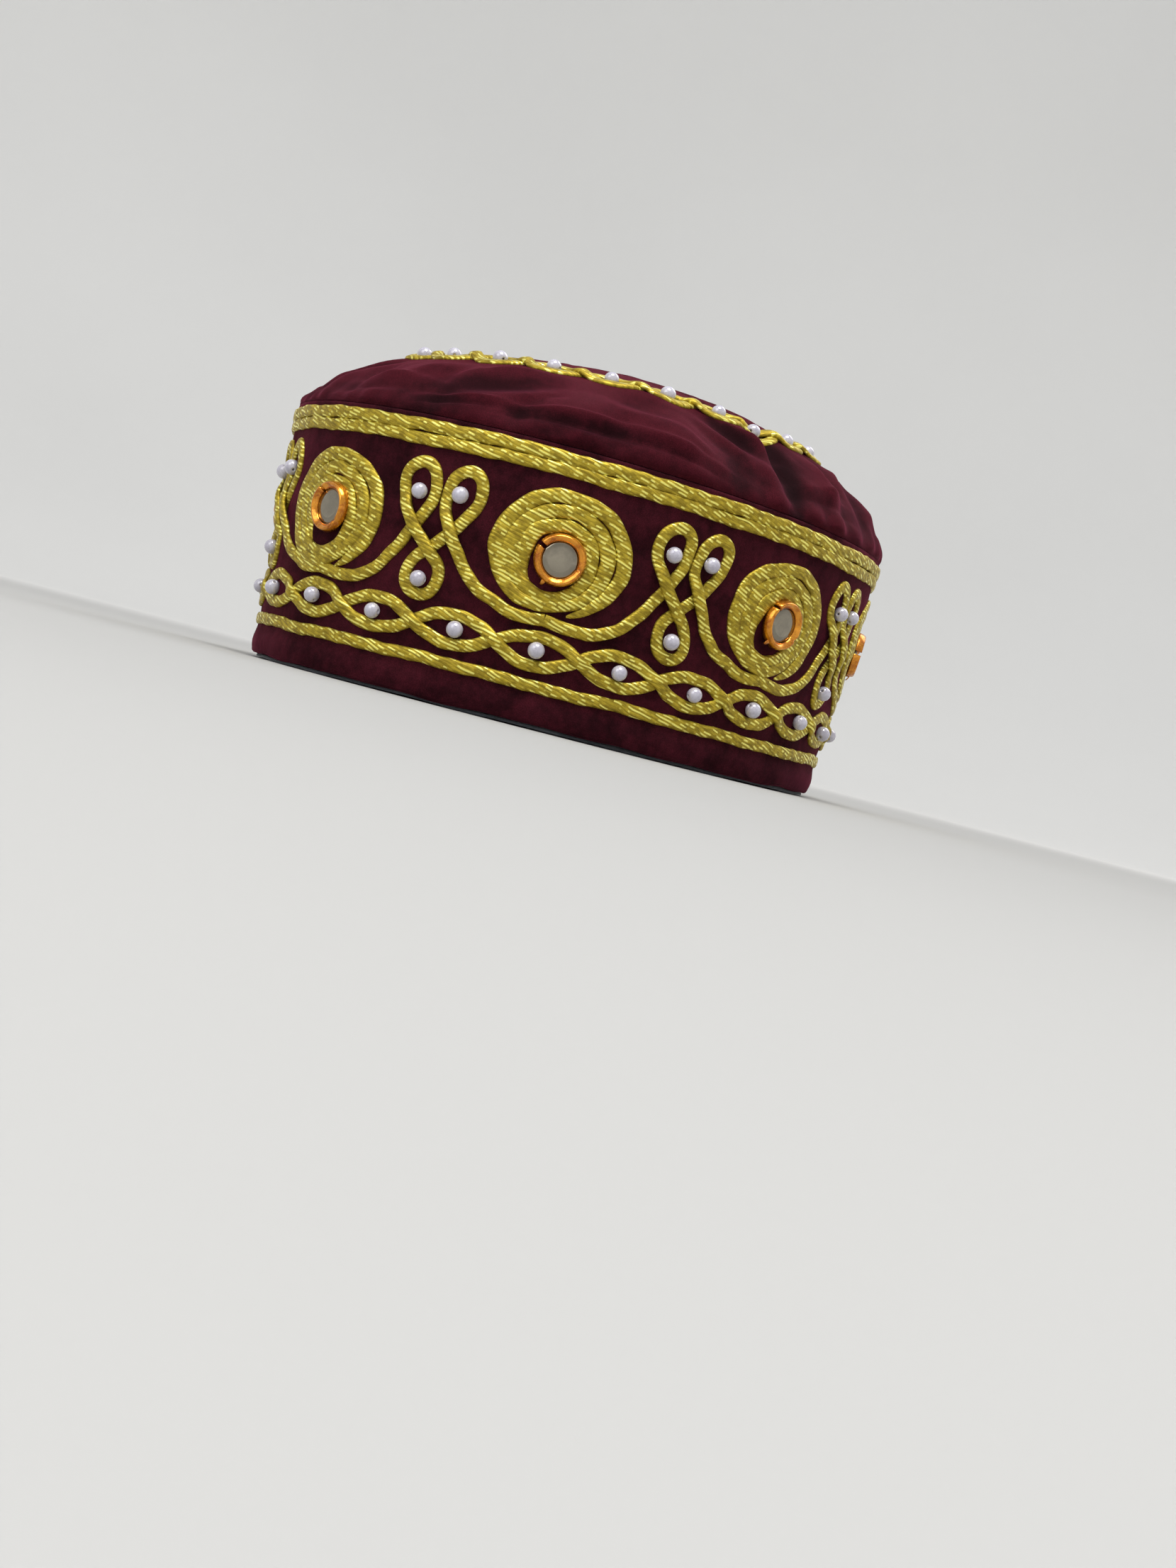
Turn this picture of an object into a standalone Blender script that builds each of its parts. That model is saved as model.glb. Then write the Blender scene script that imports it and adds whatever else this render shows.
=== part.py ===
"""Kufi cap: a velvet band and domed crown over a cloth lining, couched all round with flat gold
cord in coils, looped knots and two chains of crossing waves, with small mirrors in lacquered cups.

The cap stands on its rim on Z = 0. The forehead side faces -Y and the wearer's left is +X.
"""

import math

import bmesh
import bpy
from mathutils import Matrix, Vector

# The oval and the heights, in metres
RIM_HALF_WIDTH = 0.0870  # across the ears, at the rim
RIM_HALF_LENGTH = 0.0974  # from the centre to the forehead, at the rim
FLARE = 0.672  # share by which the oval grows for each metre of height
BAND_HEIGHT = 0.0795
BAND_THICKNESS = 0.0026
SEAM_HEIGHT = 0.0803  # where the crown is sewn to the band
CROWN_RISE = 0.0360
CROWN_THICKNESS = 0.0020
CROWN_ROUNDNESS = 0.77  # under 1 makes shoulders, 1 a parabola
CROWN_PUFF = 0.012  # share by which the velvet swells out over the seam
CROWN_PUFF_HEIGHT = 0.0045
FOLD_START = 0.0040  # height over the seam at which the folds have set in
LINING_THICKNESS = 0.0010
LINING_EDGE = 0.0010  # height of the lining's lower edge
LINING_TOP = 0.0770
LINING_RISE = 0.0310
CLOTH_GAP = 0.0003

# Grid of the cloth pieces
SIDES = 40
CROWN_RINGS = 8
LINING_RINGS = 4

# Gold cord, flat on the velvet
CORD_WIDTH = 0.0033
CORD_TOP_WIDTH = 0.0019
CORD_THICKNESS = 0.0014
CORD_SEAT = 0.0004  # clearance under the cord, over the flat sides of the band

# Heights of the embroidery's rows on the band
ARC_HEIGHT = 0.0450  # the height at which lengths along the band are true
LOWER_CORD_HEIGHT = 0.0122
SIDE_WAVE_HEIGHT = 0.0220
SWAG_HEIGHT = 0.0300
COIL_HEIGHT = 0.0514
UPPER_CORD_HEIGHTS = (0.0728, 0.0766)

# Two crossing waves, as a chain of eyes
MOTIFS = 8
EYES_PER_MOTIF = 3
SIDE_WAVE_REACH = 0.0042
CROWN_WAVE_REACH = 0.0036
CROWN_WAVE_SHARE = 0.68  # how far out on the crown, of the way to the seam
CROSSING_HALF = 0.16  # half of a crossing, as a share of the eye's length
CROSSING_LIFT = 0.0018
CREST_PARTS = (0.36, 0.64)  # where a wave's two crest points lie along the eye

# Coils, from the inner end clockwise to the outer end beside the swag
COIL_PITCH = 0.0035
COIL_TURNS = 2.7
COIL_STEPS = 30
COIL_OUTER_RADIUS = 0.01865
COIL_END_DEG = 250.0
COIL_WIDEN = 1.10
COIL_FLATTEN = 0.96
COIL_CORD_WIDTH = 0.0031

# Mirror and its cup
CUP_SIDES = 12
CUP_OUTER_RADIUS = 0.0071
CUP_TOP_RADIUS = 0.0066
CUP_INNER_RADIUS = 0.0053
CUP_HEIGHT = 0.0024
CUP_OFFSET = (0.0004, -0.0003)  # along the band and up, from the coil's centre
MIRROR_RADIUS = 0.0050
MIRROR_THICKNESS = 0.0011
STONE_SEAT = 0.0003

# Broad hollows of the soft crown: where each lies round from the forehead and out from the top,
# its half widths, its depth, and how far it slants outwards over its half width
FOLD_COLUMNS = ("turn_deg", "share", "half_deg", "half_share", "depth", "slant")
FOLDS = (
    (16.0, 0.88, 22.0, 0.075, 0.0026, 0.000),
    (50.0, 0.91, 18.0, 0.060, 0.0028, -0.006),
    (76.0, 0.80, 13.0, 0.150, 0.0038, 0.060),
    (103.0, 0.85, 14.0, 0.110, 0.0032, -0.060),
    (141.0, 0.88, 20.0, 0.085, 0.0030, 0.010),
    (183.0, 0.82, 15.0, 0.130, 0.0036, 0.050),
    (222.0, 0.89, 20.0, 0.070, 0.0028, -0.008),
    (262.0, 0.83, 14.0, 0.130, 0.0036, 0.060),
    (300.0, 0.90, 20.0, 0.065, 0.0030, 0.006),
    (338.0, 0.84, 14.0, 0.120, 0.0030, -0.050),
)

# First half of a knot's cord, in millimetres along the band and above the rim: from the swag up
# to the upper loop, over its top and on to the bottom of the lower loop. The second half is its
# mirror image, run backwards. A cord that crosses another one is lifted over it.
KNOT_COLUMNS = ("along", "height", "lift", "mirror_lift")
KNOT_HALF_MM = (
    (-26.0, 30.0, 0.0, 0.0),
    (-18.0, 30.3, 0.0, 0.0),
    (-13.2, 32.4, 0.0, 0.0),
    (-9.8, 36.8, 0.0, 0.0),
    (-6.6, 42.6, 0.0, 1.8),
    (-3.7, 49.9, 0.0, 1.8),
    (-2.2, 54.6, 0.0, 0.0),
    (-1.9, 59.6, 0.0, 0.0),
    (-3.1, 64.2, 0.0, 0.0),
    (-6.3, 66.2, 0.0, 0.0),
    (-9.6, 64.3, 0.0, 0.0),
    (-11.0, 59.8, 0.0, 0.0),
    (-9.9, 55.2, 0.0, 0.0),
    (-7.4, 50.6, 1.8, 0.0),
    (-3.3, 45.2, 1.8, 0.0),
    (1.7, 40.0, 1.8, 0.0),
    (4.2, 37.0, 0.0, 0.0),
    (4.9, 33.4, 0.0, 0.0),
    (3.2, 30.4, 0.0, 0.0),
)
KNOT_BOTTOM_MM = 29.3

TABLE_STEPS = 720
NUDGE = 1e-4
MERGE_DISTANCE = 1e-5
SHARP_DEG = 35.0


def clear_scene():
    for item in list(bpy.data.objects):
        bpy.data.objects.remove(item, do_unlink=True)


def make_collection(name):
    collection = bpy.data.collections.new(name)
    bpy.context.scene.collection.children.link(collection)
    return collection


def make_material(name, colour, roughness, metallic=0.0):
    material = bpy.data.materials.new(name)
    material.use_nodes = True
    shader = material.node_tree.nodes["Principled BSDF"]
    shader.inputs["Base Color"].default_value = (*colour, 1.0)
    shader.inputs["Roughness"].default_value = roughness
    shader.inputs["Metallic"].default_value = metallic
    return material


def make_materials():
    return {
        "velvet": make_material("burgundy_velvet", (0.070, 0.008, 0.018), 0.90),
        "lining": make_material("charcoal_lining", (0.035, 0.036, 0.042), 0.85),
        "gold": make_material("gold_cord", (0.520, 0.380, 0.060), 0.40, 0.6),
        "cup": make_material("amber_cup", (0.600, 0.200, 0.020), 0.25, 0.8),
        "mirror": make_material("mirror_glass", (0.600, 0.600, 0.580), 0.05, 1.0),
    }


def oval_point(angle, grow):
    return Vector((RIM_HALF_WIDTH * grow * math.sin(angle), -RIM_HALF_LENGTH * grow * math.cos(angle), 0.0))


def oval_table():
    """Length along the oval at each of TABLE_STEPS equal angles, true at ARC_HEIGHT."""
    grow = 1.0 + FLARE * ARC_HEIGHT
    lengths = [0.0]
    for step in range(TABLE_STEPS):
        here = oval_point(2.0 * math.pi * step / TABLE_STEPS, grow)
        there = oval_point(2.0 * math.pi * (step + 1) / TABLE_STEPS, grow)
        lengths.append(lengths[-1] + (there - here).length)
    return lengths


OVAL_LENGTHS = oval_table()
OVAL_LENGTH = OVAL_LENGTHS[-1]


def angle_at(along):
    """Angle round the oval, from the forehead, at a length along it."""
    turns, rest = divmod(along, OVAL_LENGTH)
    low, high = 0, TABLE_STEPS
    while high - low > 1:
        middle = (low + high) // 2
        if OVAL_LENGTHS[middle] <= rest:
            low = middle
        else:
            high = middle
    part = (rest - OVAL_LENGTHS[low]) / (OVAL_LENGTHS[high] - OVAL_LENGTHS[low])
    return 2.0 * math.pi * (turns + (low + part) / TABLE_STEPS)


def wall_normal(angle):
    """Outward normal of the flared wall."""
    side = Vector((math.sin(angle) / RIM_HALF_WIDTH, -math.cos(angle) / RIM_HALF_LENGTH, 0.0)).normalized()
    lean = -FLARE * oval_point(angle, 1.0).dot(side)
    return Vector((side.x, side.y, lean)).normalized()


def wall_place(along, height, lift):
    """Point on the band, at a length along it and a height, lifted off the velvet."""
    angle = angle_at(along)
    point = oval_point(angle, 1.0 + FLARE * height)
    point.z = height
    return point + wall_normal(angle) * lift


def fold_drop(angle, share):
    """How far the folds lower a point of the dome."""
    drop = 0.0
    for row in FOLDS:
        fold = dict(zip(FOLD_COLUMNS, row))
        turn = math.remainder(angle - math.radians(fold["turn_deg"]), 2.0 * math.pi)
        across = turn / math.radians(fold["half_deg"])
        outward = (share - fold["share"] - fold["slant"] * across) / fold["half_share"]
        drop += fold["depth"] * math.exp(-across * across - outward * outward)
    return drop


def crown_point(angle, share):
    """Point of the dome, share 0 at its top and 1 at the seam."""
    height = CROWN_RISE * max(0.0, 1.0 - share * share) ** CROWN_ROUNDNESS
    swell = height / CROWN_PUFF_HEIGHT
    puff = 1.0 + CROWN_PUFF * swell * math.exp(1.0 - swell)
    point = oval_point(angle, share * puff * (1.0 + FLARE * SEAM_HEIGHT))
    point.z = SEAM_HEIGHT + height
    point.z -= fold_drop(angle, share) * (1.0 - math.exp(-height / FOLD_START))
    return point


def crown_place(along, up, lift):
    """Point on the crown beside the ring at CROWN_WAVE_SHARE, up towards the dome's top."""
    ring_grow = CROWN_WAVE_SHARE * (1.0 + FLARE * SEAM_HEIGHT) / (1.0 + FLARE * ARC_HEIGHT)
    angle = angle_at(along / ring_grow)
    step = crown_point(angle, CROWN_WAVE_SHARE + NUDGE) - crown_point(angle, CROWN_WAVE_SHARE - NUDGE)
    share = CROWN_WAVE_SHARE - up * 2.0 * NUDGE / step.length
    rightward = crown_point(angle + NUDGE, share) - crown_point(angle - NUDGE, share)
    upward = crown_point(angle, share - NUDGE) - crown_point(angle, share + NUDGE)
    normal = rightward.cross(upward).normalized()
    return crown_point(angle, share) + normal * lift


def add_object(name, mesh, collection, material):
    item = bpy.data.objects.new(name, mesh)
    collection.objects.link(item)
    mesh.materials.clear()
    mesh.materials.append(material)
    return item


def mesh_from(name, body):
    """Smooth-shaded mesh of a finished body, its faces pointing out."""
    bmesh.ops.recalc_face_normals(body, faces=body.faces)
    mesh = bpy.data.meshes.new(name)
    body.to_mesh(mesh)
    body.free()
    mesh.shade_smooth()
    mesh.set_sharp_from_angle(angle=math.radians(SHARP_DEG))
    return mesh


def ribbon_mesh(name, path, place, width=CORD_WIDTH, period=None):
    """Flat cord along a path of (along, height, lift); with a period the two ends meet."""
    body = bmesh.new()
    bevel = (CORD_WIDTH - CORD_TOP_WIDTH) / 2.0
    half = width / 2.0
    top = half - bevel
    section = ((-half, 0.0), (half, 0.0), (top, CORD_THICKNESS), (-top, CORD_THICKNESS))
    count = len(path)
    rings = []
    for index, (along, height, lift) in enumerate(path):
        before = path[index - 1] if index else path[0]
        after = path[index + 1] if index < count - 1 else path[-1]
        if period and index == 0:
            before = (path[-1][0] - period, path[-1][1])
        if period and index == count - 1:
            after = (path[0][0] + period, path[0][1])
        ahead = Vector((after[0] - before[0], after[1] - before[1])).normalized()
        ring = []
        for across, rise in section:
            point = place(along - ahead.y * across, height + ahead.x * across, CORD_SEAT + lift + rise)
            ring.append(body.verts.new(point))
        rings.append(ring)
    last = count if period else count - 1
    for index in range(last):
        here, there = rings[index], rings[(index + 1) % count]
        for corner in range(len(section)):
            nearby = (corner + 1) % len(section)
            body.faces.new((here[corner], here[nearby], there[nearby], there[corner]))
    if not period:
        body.faces.new(rings[0])
        body.faces.new(list(reversed(rings[-1])))
    return mesh_from(name, body)


def make_band(collection, material):
    """Band wall: an oval outer and inner face, level at the rim and at the top."""
    body = bmesh.new()
    rows = ((0.0, 0.0), (BAND_HEIGHT, 0.0), (BAND_HEIGHT, BAND_THICKNESS), (0.0, BAND_THICKNESS))
    rings = []
    for height, inward in rows:
        ring = []
        for side in range(SIDES):
            angle = 2.0 * math.pi * side / SIDES
            normal = wall_normal(angle)
            level = Vector((normal.x, normal.y, 0.0)).normalized()
            point = oval_point(angle, 1.0 + FLARE * height) - level * inward
            point.z = height
            ring.append(body.verts.new(point))
        rings.append(ring)
    for row, ring in enumerate(rings):
        inner = rings[(row + 1) % len(rings)]
        for side in range(SIDES):
            nearby = (side + 1) % SIDES
            body.faces.new((ring[side], ring[nearby], inner[nearby], inner[side]))
    return add_object("side_band", mesh_from("side_band", body), collection, material)


def add_cloth(name, rings, top, thickness, collection, material):
    """Open cloth surface from its lower ring up to its top point, given its thickness inwards."""
    body = bmesh.new()
    loops = [[body.verts.new(point) for point in ring] for ring in rings]
    peak = body.verts.new(top)
    for lower, upper in zip(loops, loops[1:]):
        for side in range(SIDES):
            nearby = (side + 1) % SIDES
            body.faces.new((lower[side], lower[nearby], upper[nearby], upper[side]))
    for side in range(SIDES):
        body.faces.new((loops[-1][side], loops[-1][(side + 1) % SIDES], peak))
    item = add_object(name, mesh_from(name, body), collection, material)
    wall = item.modifiers.new("thickness", "SOLIDIFY")
    wall.thickness = thickness
    wall.offset = -1.0
    return item


def make_crown(collection, material):
    rings = []
    for row in range(CROWN_RINGS):
        share = math.cos(math.pi / 2.0 * row / CROWN_RINGS)
        rings.append([crown_point(2.0 * math.pi * side / SIDES, share) for side in range(SIDES)])
    top = crown_point(0.0, 0.0)
    return add_cloth("crown", rings, top, CROWN_THICKNESS, collection, material)


def make_lining(collection, material):
    """Lining: down the inside of the band and, lower than the crown's folds, across its dome."""
    inset = BAND_THICKNESS + CLOTH_GAP
    rings = []
    for height in (LINING_EDGE, LINING_TOP):
        ring = []
        for side in range(SIDES):
            angle = 2.0 * math.pi * side / SIDES
            normal = wall_normal(angle)
            level = Vector((normal.x, normal.y, 0.0)).normalized()
            point = oval_point(angle, 1.0 + FLARE * height) - level * inset
            point.z = height
            ring.append(point)
        rings.append(ring)
    shrink = 1.0 - inset / RIM_HALF_WIDTH
    for row in range(1, LINING_RINGS):
        share = math.cos(math.pi / 2.0 * row / LINING_RINGS)
        height = LINING_TOP + LINING_RISE * (1.0 - share * share) ** CROWN_ROUNDNESS
        ring = []
        for side in range(SIDES):
            point = oval_point(2.0 * math.pi * side / SIDES, share * shrink * (1.0 + FLARE * LINING_TOP))
            point.z = height
            ring.append(point)
        rings.append(ring)
    top = Vector((0.0, 0.0, LINING_TOP + LINING_RISE))
    return add_cloth("lining", rings, top, LINING_THICKNESS, collection, material)


def make_trim_cords(collection, material):
    rows = (
        ("lower_cord", LOWER_CORD_HEIGHT),
        ("upper_cord_lower", UPPER_CORD_HEIGHTS[0]),
        ("upper_cord_upper", UPPER_CORD_HEIGHTS[1]),
    )
    for name, height in rows:
        path = [(OVAL_LENGTH * side / SIDES, height, 0.0) for side in range(SIDES)]
        mesh = ribbon_mesh(name, path, wall_place, period=OVAL_LENGTH)
        add_object(name, mesh, collection, material)


def wave_path(length, middle, reach, rising):
    """One wave round the cap. It goes over the other wave wherever it comes down."""
    eyes = MOTIFS * EYES_PER_MOTIF
    eye = length / eyes
    path = []
    for index in range(eyes):
        side = 1.0 if (index % 2 == 0) == rising else -1.0
        start = (index - 0.5) * eye
        if side < 0:
            # this crossing is passed going down, over the other wave
            swing = reach * math.sin(math.pi * CROSSING_HALF)
            path.append((start - CROSSING_HALF * eye, middle + swing, CROSSING_LIFT))
            path.append((start + CROSSING_HALF * eye, middle - swing, CROSSING_LIFT))
        else:
            path.append((start, middle, 0.0))
        for part in CREST_PARTS:
            path.append((start + part * eye, middle + side * reach, 0.0))
    return path


def make_waves(collection, material):
    ring_length = OVAL_LENGTH * CROWN_WAVE_SHARE * (1.0 + FLARE * SEAM_HEIGHT) / (1.0 + FLARE * ARC_HEIGHT)
    rows = (
        ("side_wave", OVAL_LENGTH, SIDE_WAVE_HEIGHT, SIDE_WAVE_REACH, wall_place),
        ("crown_wave", ring_length, 0.0, CROWN_WAVE_REACH, crown_place),
    )
    for name, length, middle, reach, place in rows:
        for letter, rising in (("a", True), ("b", False)):
            path = wave_path(length, middle, reach, rising)
            mesh = ribbon_mesh(f"{name}_{letter}", path, place, period=length)
            add_object(f"{name}_{letter}", mesh, collection, material)


def motif_along(number):
    return OVAL_LENGTH * number / MOTIFS


def make_coils(collection, material):
    for number in range(MOTIFS):
        path = []
        for step in range(COIL_STEPS + 1):
            left = COIL_TURNS * (1.0 - step / COIL_STEPS)
            radius = COIL_OUTER_RADIUS - COIL_PITCH * left
            angle = math.radians(COIL_END_DEG) + 2.0 * math.pi * left
            along = motif_along(number) + COIL_WIDEN * radius * math.cos(angle)
            height = COIL_HEIGHT + COIL_FLATTEN * radius * math.sin(angle)
            path.append((along, height, 0.0))
        name = f"coil_{number + 1}"
        mesh = ribbon_mesh(name, path, wall_place, width=COIL_CORD_WIDTH)
        add_object(name, mesh, collection, material)


def knot_path():
    """The cord of one knot about its own middle, from one swag's lowest point to the next."""
    half = OVAL_LENGTH / MOTIFS / 2.0 - CLOTH_GAP / 2.0
    rows = [dict(zip(KNOT_COLUMNS, (value / 1000.0 for value in row))) for row in KNOT_HALF_MM]
    path = [(-half, SWAG_HEIGHT, 0.0)]
    path += [(row["along"], row["height"], row["lift"]) for row in rows]
    path.append((0.0, KNOT_BOTTOM_MM / 1000.0, 0.0))
    path += [(-row["along"], row["height"], row["mirror_lift"]) for row in reversed(rows)]
    path.append((half, SWAG_HEIGHT, 0.0))
    return path


def make_knots(collection, material):
    path = knot_path()
    for number in range(MOTIFS):
        centre = motif_along(number + 0.5)
        placed = [(centre + along, height, lift) for along, height, lift in path]
        name = f"knot_{number + 1}"
        add_object(name, ribbon_mesh(name, placed, wall_place), collection, material)


def stone_matrix(number):
    """Frame with its Z out of the velvet, at the middle of a coil's opening."""
    along = motif_along(number) + CUP_OFFSET[0]
    height = COIL_HEIGHT + CUP_OFFSET[1]
    angle = angle_at(along)
    outward = wall_normal(angle)
    upward = (Vector((0.0, 0.0, 1.0)) - outward * outward.z).normalized()
    rightward = upward.cross(outward)
    turn = Matrix((rightward, upward, outward)).transposed().to_4x4()
    return Matrix.Translation(wall_place(along, height, STONE_SEAT)) @ turn


def cup_mesh():
    """Section of the cup's ring, to be turned about Z."""
    body = bmesh.new()
    corners = (
        (CUP_TOP_RADIUS, CUP_HEIGHT),
        (CUP_OUTER_RADIUS, 0.0),
        (CUP_INNER_RADIUS, 0.0),
        (CUP_INNER_RADIUS, CUP_HEIGHT),
    )
    verts = [body.verts.new((radius, 0.0, height)) for radius, height in corners]
    for index, vert in enumerate(verts):
        body.edges.new((vert, verts[(index + 1) % len(verts)]))
    mesh = bpy.data.meshes.new("cup")
    body.to_mesh(mesh)
    body.free()
    return mesh


def mirror_mesh():
    body = bmesh.new()
    bmesh.ops.create_cone(
        body, cap_ends=True, segments=CUP_SIDES, radius1=MIRROR_RADIUS, radius2=MIRROR_RADIUS,
        depth=MIRROR_THICKNESS, matrix=Matrix.Translation((0.0, 0.0, MIRROR_THICKNESS / 2.0)),
    )
    return mesh_from("mirror", body)


def make_stones(collection, cup_material, mirror_material):
    cup = cup_mesh()
    glass = mirror_mesh()
    for number in range(MOTIFS):
        place = stone_matrix(number)
        ring = add_object(f"mirror_cup_{number + 1}", cup.copy(), collection, cup_material)
        ring.matrix_world = place
        turned = ring.modifiers.new("turn", "SCREW")
        turned.steps = CUP_SIDES
        turned.render_steps = CUP_SIDES
        turned.use_merge_vertices = True
        turned.merge_threshold = MERGE_DISTANCE
        face = add_object(f"mirror_{number + 1}", glass.copy(), collection, mirror_material)
        face.matrix_world = place


def main():
    clear_scene()
    cap = make_collection("kufi_cap")
    materials = make_materials()
    make_band(cap, materials["velvet"])
    make_crown(cap, materials["velvet"])
    make_lining(cap, materials["lining"])
    make_trim_cords(cap, materials["gold"])
    make_waves(cap, materials["gold"])
    make_coils(cap, materials["gold"])
    make_knots(cap, materials["gold"])
    make_stones(cap, materials["cup"], materials["mirror"])


main()
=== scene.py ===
# Kufi cap: burgundy velvet, couched gold cord, small mirrors in lacquered cups and pearls.
# The front faces -Y, the cap's left is +X, and the rim stands on Z = 0. Lengths are in metres.
import math
import bpy
import numpy as np
from mathutils import Matrix, Vector


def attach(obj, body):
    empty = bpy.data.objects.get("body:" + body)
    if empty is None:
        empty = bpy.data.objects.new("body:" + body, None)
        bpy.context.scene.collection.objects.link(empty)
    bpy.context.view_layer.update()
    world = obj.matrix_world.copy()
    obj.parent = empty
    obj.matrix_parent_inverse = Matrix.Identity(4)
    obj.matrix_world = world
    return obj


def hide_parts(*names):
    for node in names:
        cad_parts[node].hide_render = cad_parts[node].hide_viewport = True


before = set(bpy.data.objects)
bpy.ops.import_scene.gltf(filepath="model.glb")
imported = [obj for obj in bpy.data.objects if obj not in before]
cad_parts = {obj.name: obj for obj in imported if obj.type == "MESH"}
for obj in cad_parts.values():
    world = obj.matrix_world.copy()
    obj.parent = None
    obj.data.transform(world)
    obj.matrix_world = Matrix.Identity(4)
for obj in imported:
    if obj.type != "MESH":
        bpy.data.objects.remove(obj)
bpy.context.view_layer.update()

root = "root"
print("frame loaded,", len(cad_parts), "solids")

# The oval that every row of the cap follows, as in the solids
oval = {
    "halfWidth": 0.0870,  # at the rim
    "halfLength": 0.0974,
    "flare": 0.672,  # growth for each metre of height
    "trueHeight": 0.0450,  # lengths along the band are true here
    "tableSteps": 1440,
    "rippleSlope": 90.0,  # most radians of phase that a ripple gains for each metre of height
}
motifCount = 8
frontMotif = 1  # laid as the picture shows it, while the others vary a little
eyesPerMotif = 3


# The ellipse of the rim, grown: (a g sin t, -b g cos t, 0).
def ovalPoints(angle, grow):
    across = oval["halfWidth"] * grow * np.sin(angle)
    forward = -oval["halfLength"] * grow * np.cos(angle)
    return np.stack([across, forward, np.zeros_like(across)], axis=-1)


def unit(vectors):
    return vectors / np.maximum(np.linalg.norm(vectors, axis=-1, keepdims=True), 1e-12)


tableAngles = np.linspace(0.0, 2.0 * np.pi, oval["tableSteps"] + 1)
tablePoints = ovalPoints(tableAngles, 1.0 + oval["flare"] * oval["trueHeight"])
tableSteps = np.linalg.norm(np.diff(tablePoints, axis=0), axis=1)
tableLengths = np.concatenate([[0.0], np.cumsum(tableSteps)])
ovalLength = tableLengths[-1]
motifLength = ovalLength / motifCount


# Angle round the oval at a length along it, read from the table of summed chords.
def angleAt(along):
    turns = np.floor(along / ovalLength)
    rest = along - turns * ovalLength
    return 2.0 * np.pi * turns + np.interp(rest, tableLengths, tableAngles)


# Outward normals of the flared wall: the ellipse's gradient, leaning down by the flare.
def wallNormals(angle):
    side = unit(np.stack([np.sin(angle) / oval["halfWidth"], -np.cos(angle) / oval["halfLength"],
                          np.zeros_like(angle)], axis=-1))
    side[..., 2] = -oval["flare"] * np.sum(ovalPoints(angle, 1.0) * side, axis=-1)
    return unit(side)


# The same normals laid level.
def levelNormals(angle):
    level = wallNormals(angle)
    level[:, 2] = 0.0
    return unit(level)


# The flared wall: the oval grown by the flare at each height.
def wallPoints(angle, height):
    points = ovalPoints(angle, 1.0 + oval["flare"] * height)
    points[..., 2] = height
    return points


# Soft unevenness: a sum of sines with whole numbers of waves round the cap, so that it closes.
def ripple(angle, height, seed, waves, reach):
    dice = np.random.default_rng(seed)
    total = np.zeros(np.broadcast(angle, height).shape)
    for count in waves:
        slope = dice.uniform(-1.0, 1.0) * oval["rippleSlope"]
        phase = dice.uniform(0.0, 2.0 * np.pi)
        total = total + np.sin(count * angle + slope * height + phase)
    return reach * total / len(waves)


# Mesh helpers
# Object from an array of points and a list of arrays of faces, each of one number of corners.
def meshObject(name, points, corners, material, cornerUv=None, paintedFoldShade=None):
    sizes = np.concatenate([np.full(len(part), part.shape[1]) for part in corners])
    order = np.concatenate([part.ravel() for part in corners]).astype(np.int32)
    starts = np.concatenate([[0], np.cumsum(sizes)[:-1]]).astype(np.int32)
    mesh = bpy.data.meshes.new(name)
    mesh.vertices.add(len(points))
    mesh.vertices.foreach_set("co", np.asarray(points, np.float32).ravel())
    mesh.loops.add(len(order))
    mesh.loops.foreach_set("vertex_index", order)
    mesh.polygons.add(len(sizes))
    mesh.polygons.foreach_set("loop_start", starts)
    mesh.update(calc_edges=True)
    if cornerUv is not None:
        layer = mesh.uv_layers.new(name="UVMap")
        layer.data.foreach_set("uv", np.asarray(cornerUv, np.float32).ravel())
    # Point attribute with the painted shade of folds, read by the velvet.
    if paintedFoldShade is not None:
        attribute = mesh.attributes.new("paintedFoldShade", "FLOAT", "POINT")
        attribute.data.foreach_set("value", np.asarray(paintedFoldShade, np.float32))
    mesh.shade_smooth()
    mesh.materials.append(material)
    item = bpy.data.objects.new(name, mesh)
    bpy.context.scene.collection.objects.link(item)
    return item


# Quads between the points of a grid, and each quad's row and column, for its texture corners.
def gridCorners(rows, columns, closeRows=False, closeColumns=False):
    lastRow = rows if closeRows else rows - 1
    lastColumn = columns if closeColumns else columns - 1
    row, column = np.meshgrid(np.arange(lastRow), np.arange(lastColumn), indexing="ij")
    row = row.ravel()
    column = column.ravel()
    rowSteps = np.array([0, 1, 1, 0])
    columnSteps = np.array([0, 0, 1, 1])
    cornerRows = row[:, None] + rowSteps
    cornerColumns = column[:, None] + columnSteps
    quads = (cornerRows % rows) * columns + cornerColumns % columns
    return quads, cornerRows, cornerColumns


# Triangles from a closed ring of points to one centre point.
def fanCorners(ring, centre, flip=False):
    after = np.roll(ring, -1)
    hub = np.full(len(ring), centre)
    return np.stack([ring, after, hub] if not flip else [after, ring, hub], axis=1)


# Fans that close both ends of a run of rings, on the two points that follow them.
def endFans(rows, columns, flip=False):
    ring = np.arange(columns)
    hub = rows * columns
    return [fanCorners(ring, hub, flip), fanCorners(ring + hub - columns, hub + 1, not flip)]


# Profile turned about Z: a closed row of points for each radius and height.
def turnedRows(radii, heights, columns):
    spin = 2.0 * np.pi * np.arange(columns) / columns
    return np.stack([radii[:, None] * np.cos(spin), radii[:, None] * np.sin(spin),
                     np.broadcast_to(heights[:, None], (len(radii), columns))], axis=-1)


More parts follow.
